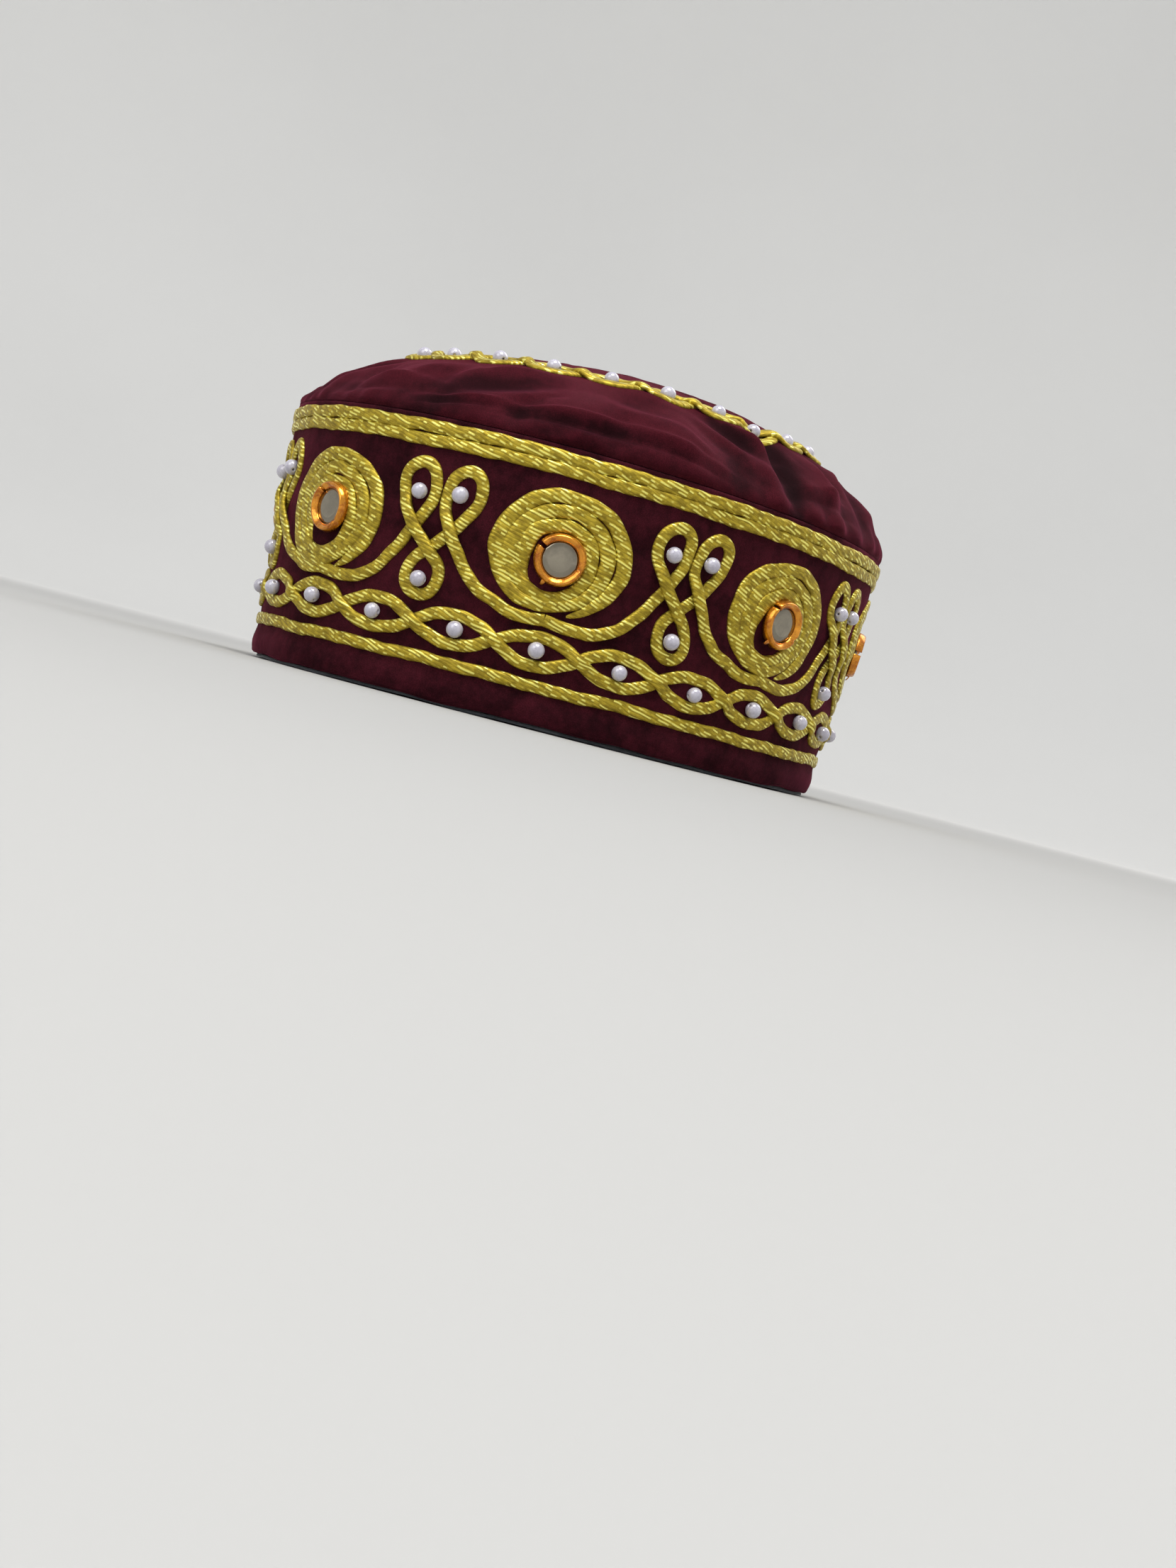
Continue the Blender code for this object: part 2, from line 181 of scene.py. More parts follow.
# Values between the points of a grid that closes round its columns.
def readGrid(values, row, column):
    lowRow = np.clip(row.astype(int), 0, len(values) - 2)
    lowColumn = column.astype(int) % values.shape[1]
    nextColumn = (lowColumn + 1) % values.shape[1]
    rowPart = (row - lowRow)[..., None]
    columnPart = (column - np.floor(column))[..., None]
    lower = values[lowRow, lowColumn] * (1.0 - columnPart) + values[lowRow, nextColumn] * columnPart
    lowRow = lowRow + 1
    upper = values[lowRow, lowColumn] * (1.0 - columnPart) + values[lowRow, nextColumn] * columnPart
    return lower * (1.0 - rowPart) + upper * rowPart


# Natural cubic spline through rows of numbers, by chord length of their first two columns, read evenly.
def splineThrough(points, step):
    points = np.asarray(points, float)
    chords = np.linalg.norm(np.diff(points[:, :2], axis=0), axis=1)
    knots = np.concatenate([[0.0], np.cumsum(chords)])
    count = len(points)
    system = np.eye(count)
    right = np.zeros_like(points)
    before = chords[:-1]
    after = chords[1:]
    inner = np.arange(1, count - 1)
    system[inner, inner - 1] = before
    system[inner, inner] = 2.0 * (before + after)
    system[inner, inner + 1] = after
    slopes = np.diff(points, axis=0) / chords[:, None]
    right[1:-1] = 6.0 * np.diff(slopes, axis=0)
    bend = np.linalg.solve(system, right)
    where = np.linspace(0.0, knots[-1], max(8, int(knots[-1] / step)))
    cell = np.clip(np.searchsorted(knots, where, side="right") - 1, 0, count - 2)
    wide = chords[cell][:, None]
    left = (knots[cell + 1] - where)[:, None] / wide
    share = 1.0 - left
    curve = left * points[cell] + share * points[cell + 1]
    sag = (left ** 3 - left) * bend[cell] + (share ** 3 - share) * bend[cell + 1]
    return curve + sag * wide ** 2 / 6.0


# Materials
def addNode(tree, kind, inputs=None, **settings):
    node = tree.nodes.new(kind)
    for key, value in settings.items():
        setattr(node, key, value)
    for socket, value in (inputs or {}).items():
        if isinstance(value, bpy.types.NodeSocket):
            tree.links.new(value, node.inputs[socket])
        else:
            node.inputs[socket].default_value = value
    return node


def calc(tree, operation, first, second=0.0, third=0.0):
    node = addNode(tree, "ShaderNodeMath", {0: first, 1: second, 2: third}, operation=operation)
    return node.outputs[0]


def blendColours(tree, factor, first, second, mode="MIX"):
    node = addNode(tree, "ShaderNodeMix", {0: factor, 6: first, 7: second}, data_type="RGBA",
                   blend_type=mode)
    return node.outputs[2]


def darken(tree, colour, share):
    return blendColours(tree, 1.0, colour, share, "MULTIPLY")


def placeAt(tree, *parts):
    return addNode(tree, "ShaderNodeCombineXYZ", dict(enumerate(parts))).outputs[0]


def ramp(tree, value, low, high, lowResult=0.0, highResult=1.0):
    inputs = {0: value, 1: low, 2: high, 3: lowResult, 4: highResult}
    node = addNode(tree, "ShaderNodeMapRange", inputs, interpolation_type="SMOOTHSTEP")
    return node.outputs[0]


def noise(tree, vector, scale, detail=2.0, roughness=0.5, distortion=0.0):
    inputs = {"Vector": vector, "Scale": scale, "Detail": detail, "Roughness": roughness,
              "Distortion": distortion}
    return addNode(tree, "ShaderNodeTexNoise", inputs).outputs["Fac"]


# Node group of a finish: inputs with their defaults, a vector where there is none, and three outputs.
def newGroup(name, defaults):
    tree = bpy.data.node_groups.new(name, "ShaderNodeTree")
    kinds = {float: "NodeSocketFloat", tuple: "NodeSocketColor", type(None): "NodeSocketVector"}
    for label, value in defaults.items():
        socket = tree.interface.new_socket(label, in_out="INPUT", socket_type=kinds[type(value)])
        if value is not None:
            socket.default_value = value
    for label, kind in (("Color", tuple), ("Roughness", float), ("Height", float)):
        tree.interface.new_socket(label, in_out="OUTPUT", socket_type=kinds[kind])
    return tree, tree.nodes.new("NodeGroupInput").outputs


def endGroup(tree, *results):
    for value, socket in zip(results, tree.nodes.new("NodeGroupOutput").inputs):
        tree.links.new(value, socket)
    return tree


# Brushed pile: broad patches lying one way or the other, finer mottling and single tufts, plus painted
# shade in folds and painted light on their lips.
def makePileGroup():
    tree, given = newGroup("brushedPile", {
        "Coordinates": None, "Deep": (0.03, 0.005, 0.01, 1.0), "Lit": (0.1, 0.012, 0.026, 1.0),
        "PatchScale": 70.0, "TuftScale": 3200.0, "PaintedFoldShade": 0.0})
    where = given["Coordinates"]
    patch = noise(tree, where, given["PatchScale"], 3.0, 0.55, 0.6)
    mottle = noise(tree, where, calc(tree, "MULTIPLY", given["PatchScale"], 7.0), 3.0, 0.6)
    tuft = noise(tree, where, given["TuftScale"], 2.0, 0.6)
    lying = calc(tree, "MULTIPLY_ADD", ramp(tree, patch, 0.28, 0.74), 0.40, 0.07)
    mixed = calc(tree, "MULTIPLY_ADD", mottle, 0.55, lying)
    # Painted shade: the fold amount pulls the pile toward its deep colour; below zero, on the lips, it
    # paints light.
    foldShaded = calc(tree, "MULTIPLY_ADD", given["PaintedFoldShade"], -0.55, mixed)
    colour = blendColours(tree, ramp(tree, foldShaded, 0.18, 0.86), given["Deep"], given["Lit"])
    colour = darken(tree, colour, ramp(tree, tuft, 0.35, 0.7, 0.72, 1.2))
    # More painted shade, darkening the colour by up to half in the deepest folds.
    colour = darken(tree, colour, ramp(tree, given["PaintedFoldShade"], 0.10, 1.1, 1.0, 0.50))
    height = calc(tree, "MULTIPLY_ADD", mottle, 0.5, calc(tree, "MULTIPLY", tuft, 0.5))
    return endGroup(tree, colour, ramp(tree, patch, 0.3, 0.7, 0.95, 0.8), height)


# Flat metal threads side by side on one slant, with painted highlights in short strokes along some threads
# and painted shade between and around them.
# The coordinates are millimetres along and up the cloth.
def makeThreadGroup():
    tree, given = newGroup("metalThread", {
        "Coordinates": None, "Pitch": 1.05, "SlantDeg": -15.0, "Body": (0.54, 0.405, 0.034, 1.0),
        "Glint": (1.0, 0.92, 0.22, 1.0), "Shade": (0.27, 0.190, 0.012, 1.0),
        "Rust": (0.33, 0.13, 0.012, 1.0)})
    along, up, _ = addNode(tree, "ShaderNodeSeparateXYZ", {0: given["Coordinates"]}).outputs
    slant = calc(tree, "RADIANS", given["SlantDeg"])
    sine = calc(tree, "SINE", slant)
    cosine = calc(tree, "COSINE", slant)
    run = calc(tree, "MULTIPLY_ADD", along, cosine, calc(tree, "MULTIPLY", up, sine))
    over = calc(tree, "SUBTRACT", calc(tree, "MULTIPLY", up, cosine), calc(tree, "MULTIPLY", along, sine))
    waver = noise(tree, given["Coordinates"], 0.12, 1.0, 0.5)
    counted = calc(tree, "DIVIDE", calc(tree, "MULTIPLY_ADD", waver, 1.6, over), given["Pitch"])
    ridge = calc(tree, "ABSOLUTE", calc(tree, "SINE", calc(tree, "MULTIPLY", counted, math.pi)))
    thread = calc(tree, "MULTIPLY", calc(tree, "FLOOR", counted), 5.37)  # another noise for each thread
    drawnOut = calc(tree, "MULTIPLY", run, 0.30)  # strokes lie along the thread
    stroke = noise(tree, placeAt(tree, drawnOut, thread), 1.0, 1.0, 0.4)
    dull = noise(tree, placeAt(tree, drawnOut, calc(tree, "MULTIPLY", over, 0.9), 7.0), 1.0, 3.0, 0.6)
    body = blendColours(tree, ramp(tree, dull, 0.36, 0.60), given["Shade"], given["Body"])
    # Painted shade in the grooves between the threads.
    body = blendColours(tree, ramp(tree, ridge, 0.05, 0.6, 0.45, 1.0), given["Shade"], body)
    # Painted shade on the stretches of thread where the stroke noise is low, away from the painted
    # highlights.
    body = blendColours(tree, ramp(tree, stroke, 0.30, 0.42, 0.55, 0.0), body, given["Shade"])
    rusty = ramp(tree, noise(tree, given["Coordinates"], 0.33, 3.0, 0.7), 0.62, 0.80, 0.0, 0.4)
    body = blendColours(tree, rusty, body, given["Rust"])
    # Painted highlights: bright strokes on the crests of some threads.
    glint = calc(tree, "MULTIPLY", ramp(tree, stroke, 0.50, 0.56), ramp(tree, ridge, 0.60, 0.92))
    colour = blendColours(tree, glint, body, given["Glint"])
    height = calc(tree, "MULTIPLY_ADD", glint, 0.4, ridge)
    return endGroup(tree, colour, ramp(tree, glint, 0.0, 1.0, 0.50, 0.26), height)


# Handled finish: one colour drifting into another, and fine scratches and haze in the roughness.
def makeWearGroup():
    tree, given = newGroup("handledFinish", {
        "Coordinates": None, "Clean": (0.6, 0.2, 0.02, 1.0), "Worn": (0.3, 0.08, 0.01, 1.0),
        "Scale": 500.0, "Smooth": 0.15, "Hazy": 0.35})
    where = given["Coordinates"]
    drift = noise(tree, where, given["Scale"], 3.0, 0.6, 0.4)
    grain = noise(tree, where, calc(tree, "MULTIPLY", given["Scale"], 6.0), 2.0, 0.6)
    mixed = calc(tree, "MULTIPLY_ADD", grain, 0.3, calc(tree, "MULTIPLY", drift, 0.7))
    colour = blendColours(tree, ramp(tree, mixed, 0.38, 0.66), given["Clean"], given["Worn"])
    rough = addNode(tree, "ShaderNodeMapRange", {
        0: mixed, 1: 0.35, 2: 0.7, 3: given["Smooth"], 4: given["Hazy"]})
    return endGroup(tree, colour, rough.outputs[0], mixed)


# Material with a Principled shader whose constant values are set on its own sockets.
def newMaterial(name, constants):
    material = bpy.data.materials.new(name)
    material.use_nodes = True
    tree = material.node_tree
    shader = tree.nodes["Principled BSDF"]
    for socket, value in constants.items():
        shader.inputs[socket].default_value = value
    return material, tree, shader


def linkFinish(tree, shader, colour, roughness, height, bumpStrength, bumpDistance):
    tree.links.new(colour, shader.inputs["Base Color"])
    tree.links.new(roughness, shader.inputs["Roughness"])
    bump = addNode(tree, "ShaderNodeBump", {
        "Strength": bumpStrength, "Distance": bumpDistance, "Height": height})
    tree.links.new(bump.outputs[0], shader.inputs["Normal"])


def clothPlace(tree):
    return addNode(tree, "ShaderNodeUVMap", uv_map="UVMap").outputs[0]


# A finish group in a material: its colour, roughness and height.
def finishOf(tree, group, where, values):
    return addNode(tree, "ShaderNodeGroup", {"Coordinates": where, **values}, node_tree=group).outputs


def makeVelvet(name, group, deep, lit, patchScale):
    material, tree, shader = newMaterial(name, {
        "Sheen Weight": 0.32, "Sheen Roughness": 0.32, "Sheen Tint": (0.62, 0.07, 0.17, 1.0),
        "Specular IOR Level": 0.05})
    where = tree.nodes.new("ShaderNodeTexCoord").outputs["Object"]
    # Painted fold shade from the crown's point attribute; nothing on the band, which has none.
    paintedFoldShade = addNode(tree, "ShaderNodeAttribute", attribute_name="paintedFoldShade").outputs["Fac"]
    values = {"Deep": deep, "Lit": lit, "PatchScale": patchScale, "PaintedFoldShade": paintedFoldShade}
    linkFinish(tree, shader, *finishOf(tree, group, where, values), 0.55, 0.0004)
    return material


def makeGold(group):
    material, tree, shader = newMaterial("goldCord", {"Metallic": 0.62, "Specular IOR Level": 0.45})
    linkFinish(tree, shader, *finishOf(tree, group, clothPlace(tree), {}), 0.7, 0.00012)
    return material


# Plain woven cotton: the handled finish with painted shade in the gaps between fine crossing threads.
def makeCotton(group):
    material, tree, shader = newMaterial("charcoalLining", {
        "Sheen Weight": 0.25, "Sheen Roughness": 0.5, "Specular IOR Level": 0.2})
    where = clothPlace(tree)
    colour, roughness, _ = finishOf(tree, group, where, {
        "Clean": (0.115, 0.125, 0.140, 1.0), "Worn": (0.070, 0.078, 0.090, 1.0), "Scale": 0.12,
        "Smooth": 0.82, "Hazy": 0.95})
    threadPitch = 0.45  # in millimetres
    parts = addNode(tree, "ShaderNodeSeparateXYZ", {0: where}).outputs
    waves = [calc(tree, "SINE", calc(tree, "MULTIPLY", part, math.pi / threadPitch)) for part in parts[:2]]
    weave = calc(tree, "ABSOLUTE", calc(tree, "MULTIPLY", waves[0], waves[1]))
    # Painted shade in the gaps of the weave, slightly lighter on the threads' crowns.
    colour = darken(tree, colour, ramp(tree, weave, 0.0, 0.5, 0.6, 1.1))
    linkFinish(tree, shader, colour, roughness, weave, 0.5, 0.0002)
    return material


def makeHandled(name, group, constants, values, bump):
    material, tree, shader = newMaterial(name, constants)
    where = tree.nodes.new("ShaderNodeTexCoord").outputs["Object"]
    linkFinish(tree, shader, *finishOf(tree, group, where, values), bump, 0.0002)
    return material


pileGroup = makePileGroup()
wearGroup = makeWearGroup()
bandVelvet = makeVelvet(
    "bandVelvet", pileGroup, (0.015, 0.0030, 0.0046, 1.0), (0.062, 0.0080, 0.0145, 1.0), 55.0)
crownVelvet = makeVelvet(
    "crownVelvet", pileGroup, (0.0165, 0.0028, 0.0044, 1.0), (0.060, 0.0066, 0.0120, 1.0), 42.0)
goldCord = makeGold(makeThreadGroup())
liningCotton = makeCotton(wearGroup)
cupLacquer = makeHandled(
    "amberCup", wearGroup, {"Metallic": 0.9, "Coat Weight": 0.5, "Coat Roughness": 0.08},
    {"Clean": (0.88, 0.36, 0.030, 1.0), "Worn": (0.42, 0.11, 0.008, 1.0), "Scale": 320.0, "Smooth": 0.13,
     "Hazy": 0.34}, 0.25)
mirrorGlass = makeHandled(
    "mirrorGlass", wearGroup, {"Metallic": 1.0, "Coat Weight": 0.3, "Coat Roughness": 0.03},
    {"Clean": (0.290, 0.258, 0.200, 1.0), "Worn": (0.245, 0.218, 0.170, 1.0), "Scale": 200.0,
     "Smooth": 0.06, "Hazy": 0.16}, 0.03)
pearlLustre = makeHandled(
    "pearlLustre", wearGroup,
    {"Coat Weight": 1.0, "Coat Roughness": 0.09, "Coat IOR": 1.9, "Sheen Weight": 0.2,
     "Sheen Tint": (0.85, 0.8, 1.0, 1.0), "Specular IOR Level": 0.6},
    {"Clean": (0.54, 0.52, 0.60, 1.0), "Worn": (0.40, 0.375, 0.46, 1.0), "Scale": 330.0, "Smooth": 0.18,
     "Hazy": 0.30}, 0.1)
print("materials made")

# Velvet band: its wall, the padded roll at the rim and the turned edges
band = {
    "height": 0.0795,
    "thickness": 0.0026,
    "edgeHeight": 0.0013,  # mean height of the velvet's lower edge over the lining's
    "edgeWander": 0.0006,
    "edgeRadius": 0.0013,
    "rollHeight": 0.0052,  # padded roll under the lower cord
    "rollHalf": 0.0036,
    "rollReach": 0.0007,
    "puffReach": 0.00035,  # velvet standing up between the rows of cord
    "puffStart": 0.0122,
    "puffSpan": 0.0303,
    "unevenReach": 0.00045,
    "fadeLength": 0.004,  # over which the swelling ends at the top
    "columns": 540,
    "wallRows": 64,
    "crowding": 1.1,
    "edgeRows": 8,
    "innerRows": 10,
}


# How far the velvet stands off the true wall: the rim's roll, the puff between rows of cord, unevenness.
def bandSwell(angle, height):
    roll = band["rollReach"] * np.exp(-((height - band["rollHeight"]) / band["rollHalf"]) ** 2)
    puff = band["puffReach"] * np.sin(2.0 * np.pi * (height - band["puffStart"]) / band["puffSpan"]) ** 2
    uneven = ripple(angle, height, 11, (3, 5, 7, 11, 16, 23, 31), band["unevenReach"])
    fade = np.clip((band["height"] - height) / band["fadeLength"], 0.0, 1.0)
    return roll + (puff + uneven) * fade


# Points on the velvet band: the wall moved out along its normals.
def bandPlaces(along, height, lift):
    angle = angleAt(along)
    normals = wallNormals(angle)
    return wallPoints(angle, height) + normals * (bandSwell(angle, height) + lift)[..., None], normals


# Height of the velvet's lower edge, a little uneven.
def rimEdge(angle):
    return band["edgeHeight"] + ripple(angle, 0.0, 23, (4, 7, 11, 17, 26), band["edgeWander"])


# Closed wall: down the outside, round the lower edge on an arc, up the inside and over the top.
def makeBand():
    angle = np.linspace(0.0, 2.0 * np.pi, band["columns"], endpoint=False)
    level = levelNormals(angle)
    low = rimEdge(angle) + band["edgeRadius"]
    rows = []
    for share in np.linspace(0.0, 1.0, band["wallRows"]) ** band["crowding"]:
        height = band["height"] + (low - band["height"]) * share
        rows.append(wallPoints(angle, height) + wallNormals(angle) * bandSwell(angle, height)[:, None])
    outer = rows[-1]
    for turn in np.linspace(0.0, np.pi, band["edgeRows"] + 1)[1:]:
        inward = band["edgeRadius"] * (1.0 - np.cos(turn))
        down = band["edgeRadius"] * np.sin(turn)
        rows.append(outer - level * inward - np.array([0.0, 0.0, down]))
    inner = rows[-1]
    for share in np.linspace(0.0, 1.0, band["innerRows"] + 1)[1:]:
        height = low + (band["height"] - low) * share
        grown = wallPoints(angle, height) - level * band["thickness"]
        eased = min(1.0, share * 3.0)  # true to its place after a third of the way up
        rows.append(inner * (1.0 - eased) + grown * eased)
        rows[-1][:, 2] = height
    points = np.stack(rows)
    quads, _, _ = gridCorners(len(rows), band["columns"], True, True)
    piece = meshObject("velvet_band", points.reshape(-1, 3), [quads], bandVelvet)
    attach(piece, root)
    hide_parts("side_band")


makeBand()
print("band made")

# Velvet crown: a low, slightly lopsided dome with broad hollows and sharper creases
crown = {
    "seamHeight": 0.0797,
    "rise": 0.0348,
    "roundness": 0.63,
    "puff": 0.010,
    "puffHeight": 0.0060,
    "foldStart": 0.0016,
    "thickness": 0.0020,
    "rows": 130,
    "columns": 420,
    "innerStep": 10,
    "tuckIn": 0.004,  # share by which the sewn edge turns in
    "tuckHeight": 0.0016,
    "unevenReach": 0.0009,
    "unevenHeight": 0.09,  # from top to seam, as the ripple takes it
    "meanRadius": 96.0,  # in millimetres, to measure folds by
    "foldDepth": 1.2,  # of the depths in the table
    "foldBend": 0.35,
    "upperLip": 0.55,  # lips beside each fold, as shares of its depth
    "lowerLip": 0.2,
    "deepest": 0.0044,
    "fullShadeDepth": 0.0026,  # at which the painted fold shade is full
    "ringShare": 0.66,  # inside the ring of cord the cloth stands up again
    "ringBulge": 0.0024,
    "ringRoundness": 1.3,
    "leanDeg": -44.0,  # the side on which the crown lies flatter, and by how much
    "lean": 0.13,
    "leanBend": 0.06,
}
# Folds: where each lies, which way it runs, and its half length, half width and depth in millimetres
foldColumns = ("turnDeg", "share", "tiltDeg", "halfLength", "halfWidth", "depth")
folds = (
    (88.0, 0.860, 84.0, 17.0, 4.6, 3.5),
    (77.0, 0.825, -42.0, 13.0, 3.0, 2.2),
    (98.0, 0.962, -3.0, 13.0, 1.9, 2.2),
    (26.0, 0.880, 26.0, 15.0, 4.6, 3.6),
    (43.0, 0.970, 2.0, 21.0, 1.2, 2.4),
    (62.0, 0.976, -4.0, 16.0, 1.1, 1.9),
    (22.0, 0.976, 5.0, 14.0, 1.1, 1.8),
    (56.0, 0.820, -14.0, 12.0, 5.0, 2.2),
    (62.0, 0.900, -16.0, 14.0, 7.0, -1.8),
    (100.0, 0.860, 68.0, 10.0, 4.0, -1.8),
    (11.0, 0.850, 12.0, 10.0, 6.0, -2.0),
    (4.0, 0.960, 4.0, 16.0, 1.9, 2.4),
    (-17.0, 0.850, 55.0, 12.0, 5.0, 2.8),
    (-33.0, 0.900, -30.0, 11.0, 3.5, 2.0),
    (-52.0, 0.950, 0.0, 17.0, 2.2, 1.8),
    (117.0, 0.880, 40.0, 12.0, 4.0, 2.2),
    (133.0, 0.950, 3.0, 18.0, 2.1, 1.9),
    (149.0, 0.840, 80.0, 12.0, 5.0, 2.8),
    (171.0, 0.910, -25.0, 13.0, 3.4, 1.8),
    (189.0, 0.960, 2.0, 16.0, 2.0, 1.6),
    (206.0, 0.850, 62.0, 13.0, 5.0, 2.9),
    (231.0, 0.940, -4.0, 18.0, 2.2, 1.9),
    (246.0, 0.860, -50.0, 11.0, 4.0, 2.3),
    (268.0, 0.900, 20.0, 12.0, 3.5, 1.9),
    (285.0, 0.960, 0.0, 17.0, 2.0, 1.7),
    (291.0, 0.840, 88.0, 11.0, 5.0, 2.6),
)


def wrapped(turn):
    return (turn + np.pi) % (2.0 * np.pi) - np.pi


# Each fold: a bell along it, and across it a valley between a higher lip above and a lower one below.
# The sum is held under the deepest drop.
def foldDrop(angle, share):
    drop = np.zeros(np.broadcast(angle, share).shape)
    for row in folds:
        fold = dict(zip(foldColumns, row))
        level = wrapped(angle - math.radians(fold["turnDeg"])) * share * crown["meanRadius"]
        upward = (fold["share"] - share) * crown["meanRadius"] * 1.1  # the slope is longer than its plan
        tilt = math.radians(fold["tiltDeg"])
        length = (level * math.cos(tilt) + upward * math.sin(tilt)) / fold["halfLength"]
        across = (upward * math.cos(tilt) - level * math.sin(tilt)) / fold["halfWidth"]
        bent = across + crown["foldBend"] * length ** 2
        lips = (crown["upperLip"] * np.exp(-((bent - 1.9) / 0.9) ** 2)
                + crown["lowerLip"] * np.exp(-((bent + 2.0) / 1.1) ** 2))
        valley = np.exp(-np.abs(bent) ** 1.5) - lips
        drop = drop + crown["foldDepth"] * fold["depth"] / 1000.0 * np.exp(-length ** 2) * valley
    return crown["deepest"] * np.tanh(drop / crown["deepest"])


# Dome: height = rise (1 - share^2)^roundness, lower by the lean on one side and higher by a bulge inside
# the ring of cord. It is puffed out low down and tucked in at the seam.
def crownPoints(angle, share):
    sideways = share * np.cos(angle - math.radians(crown["leanDeg"]))
    leaned = 1.0 - crown["lean"] * sideways - crown["leanBend"] * sideways * np.abs(sideways)
    height = crown["rise"] * leaned * np.maximum(0.0, 1.0 - share ** 2) ** crown["roundness"]
    inRing = np.maximum(0.0, 1.0 - (share / crown["ringShare"]) ** 2)
    height = height + crown["ringBulge"] * inRing ** crown["ringRoundness"]
    swell = height / crown["puffHeight"]
    puff = 1.0 + crown["puff"] * swell * np.exp(1.0 - swell)
    tuck = np.exp(-(height / crown["tuckHeight"]) ** 2)
    grown = share * (puff - crown["tuckIn"] * tuck) * (1.0 + oval["flare"] * crown["seamHeight"])
    points = ovalPoints(angle, grown)
    points[..., 2] = crown["seamHeight"] + height
    return points


# Outward normals of a grid that runs up from the seam and closes round the cap.
def gridNormals(grid):
    upward = np.gradient(grid, axis=0)
    rightward = np.roll(grid, -1, axis=1) - np.roll(grid, 1, axis=1)
    return unit(np.cross(rightward, upward))


crownShares = np.cos(np.linspace(0.0, np.pi / 2.0, crown["rows"] + 1)[:-1])
crownAngles = np.linspace(0.0, 2.0 * np.pi, crown["columns"], endpoint=False)
crownGrid = crownPoints(crownAngles[None, :], crownShares[:, None])
crownRows = crownShares[:, None]
settled = 1.0 - np.exp(-((crownGrid[..., 2] - crown["seamHeight"]) / crown["foldStart"]) ** 2)
foldDepth = foldDrop(crownAngles[None, :], crownRows)
sunk = foldDepth + crownRows * ripple(
    crownAngles[None, :], crownRows * crown["unevenHeight"], 37, (2, 3, 5, 8, 13, 19), crown["unevenReach"])
crownGrid = crownGrid - gridNormals(crownGrid) * (sunk * settled)[..., None]
crownTop = crownPoints(np.array([0.0]), np.array([0.0]))[0]

# The cloth between the seam and the ring of cord is let settle by itself, a little too large for its place
cloth = {
    "step": 3,  # every third row and column of the crown
    "lastRow": 96,
    "enlarged": 10.0,
    "frames": 20,
    "limit": 0.0026,
    "evenShare": 0.85,  # of the swelling that all of a row has in common, taken off again
    "fadeRows": 2.0,  # at the seam
    "smoothings": 2,
    "settings": {
        "quality": 8,
        "mass": 0.02,
        "tension_stiffness": 12.0,
        "compression_stiffness": 12.0,
        "shear_stiffness": 4.0,
        "bending_stiffness": 0.2,
        "shrink_min": -0.045,  # spare cloth
        "use_pressure": True,
        "uniform_pressure_force": 4.0,
    },
}


# How far each point of the crown moves when its cloth is simulated, held under the limit.
def settleCloth(grid):
    coarse = grid[:cloth["lastRow"] + 1:cloth["step"], ::cloth["step"]]
    rows, columns = coarse.shape[:2]
    quads, _, _ = gridCorners(rows, columns, False, True)
    start = coarse.reshape(-1, 3) * cloth["enlarged"]
    piece = meshObject("crown_cloth", start, [quads[:, ::-1]], crownVelvet)
    sewn = piece.vertex_groups.new(name="sewn")
    sewn.add([*range(columns), *range((rows - 1) * columns, rows * columns)], 1.0, "REPLACE")
    modifier = piece.modifiers.new("cloth", "CLOTH")
    modifier.settings.vertex_group_mass = "sewn"
    for key, value in cloth["settings"].items():
        setattr(modifier.settings, key, value)
    modifier.settings.effector_weights.gravity = 0.0
    modifier.collision_settings.use_collision = False
    scene = bpy.context.scene
    for frameNumber in range(1, cloth["frames"] + 1):
        scene.frame_set(frameNumber)
    evaluated = piece.evaluated_get(bpy.context.evaluated_depsgraph_get())
    ended = np.empty(start.size, np.float32)
    evaluated.data.vertices.foreach_get("co", ended)
    bpy.data.objects.remove(piece)
    scene.frame_set(1)
    moved = (ended.reshape(coarse.shape) - start.reshape(coarse.shape)) / cloth["enlarged"]
    outward = gridNormals(coarse)
    common = np.mean(np.sum(moved * outward, axis=-1), axis=1)
    moved = moved - outward * (cloth["evenShare"] * common)[:, None, None]
    moved = moved * (1.0 - np.exp(-(np.arange(rows) / cloth["fadeRows"]) ** 2))[:, None, None]
    reach = np.linalg.norm(moved, axis=-1, keepdims=True)
    moved = moved * cloth["limit"] * np.tanh(reach / cloth["limit"]) / np.maximum(reach, 1e-9)
    rowsAt = np.arange(cloth["lastRow"] + 1)[:, None] / cloth["step"]
    fine = readGrid(moved, rowsAt, np.arange(grid.shape[1])[None, :] / cloth["step"])
    for smoothing in range(cloth["smoothings"]):
        fine[1:-1] = (fine[:-2] + fine[1:-1] + fine[2:]) / 3.0
        fine = (np.roll(fine, 1, axis=1) + fine + np.roll(fine, -1, axis=1)) / 3.0
    return fine


clothMove = settleCloth(crownGrid)
clothRows = cloth["lastRow"] + 1
foldDepth[:clothRows] -= np.sum(clothMove * gridNormals(crownGrid)[:clothRows], axis=-1)
crownGrid[:clothRows] += clothMove
print("cloth settled")


# Point of the finished crown at an angle and share, read between the points of its grid.
def crownAt(angle, share):
    whole = np.concatenate([crownGrid, np.broadcast_to(crownTop, (1, crown["columns"], 3))])
    row = np.arccos(np.clip(share, 0.0, 1.0)) / (np.pi / 2.0) * crown["rows"]
    return readGrid(whole, row, (angle / (2.0 * np.pi) * crown["columns"]) % crown["columns"])


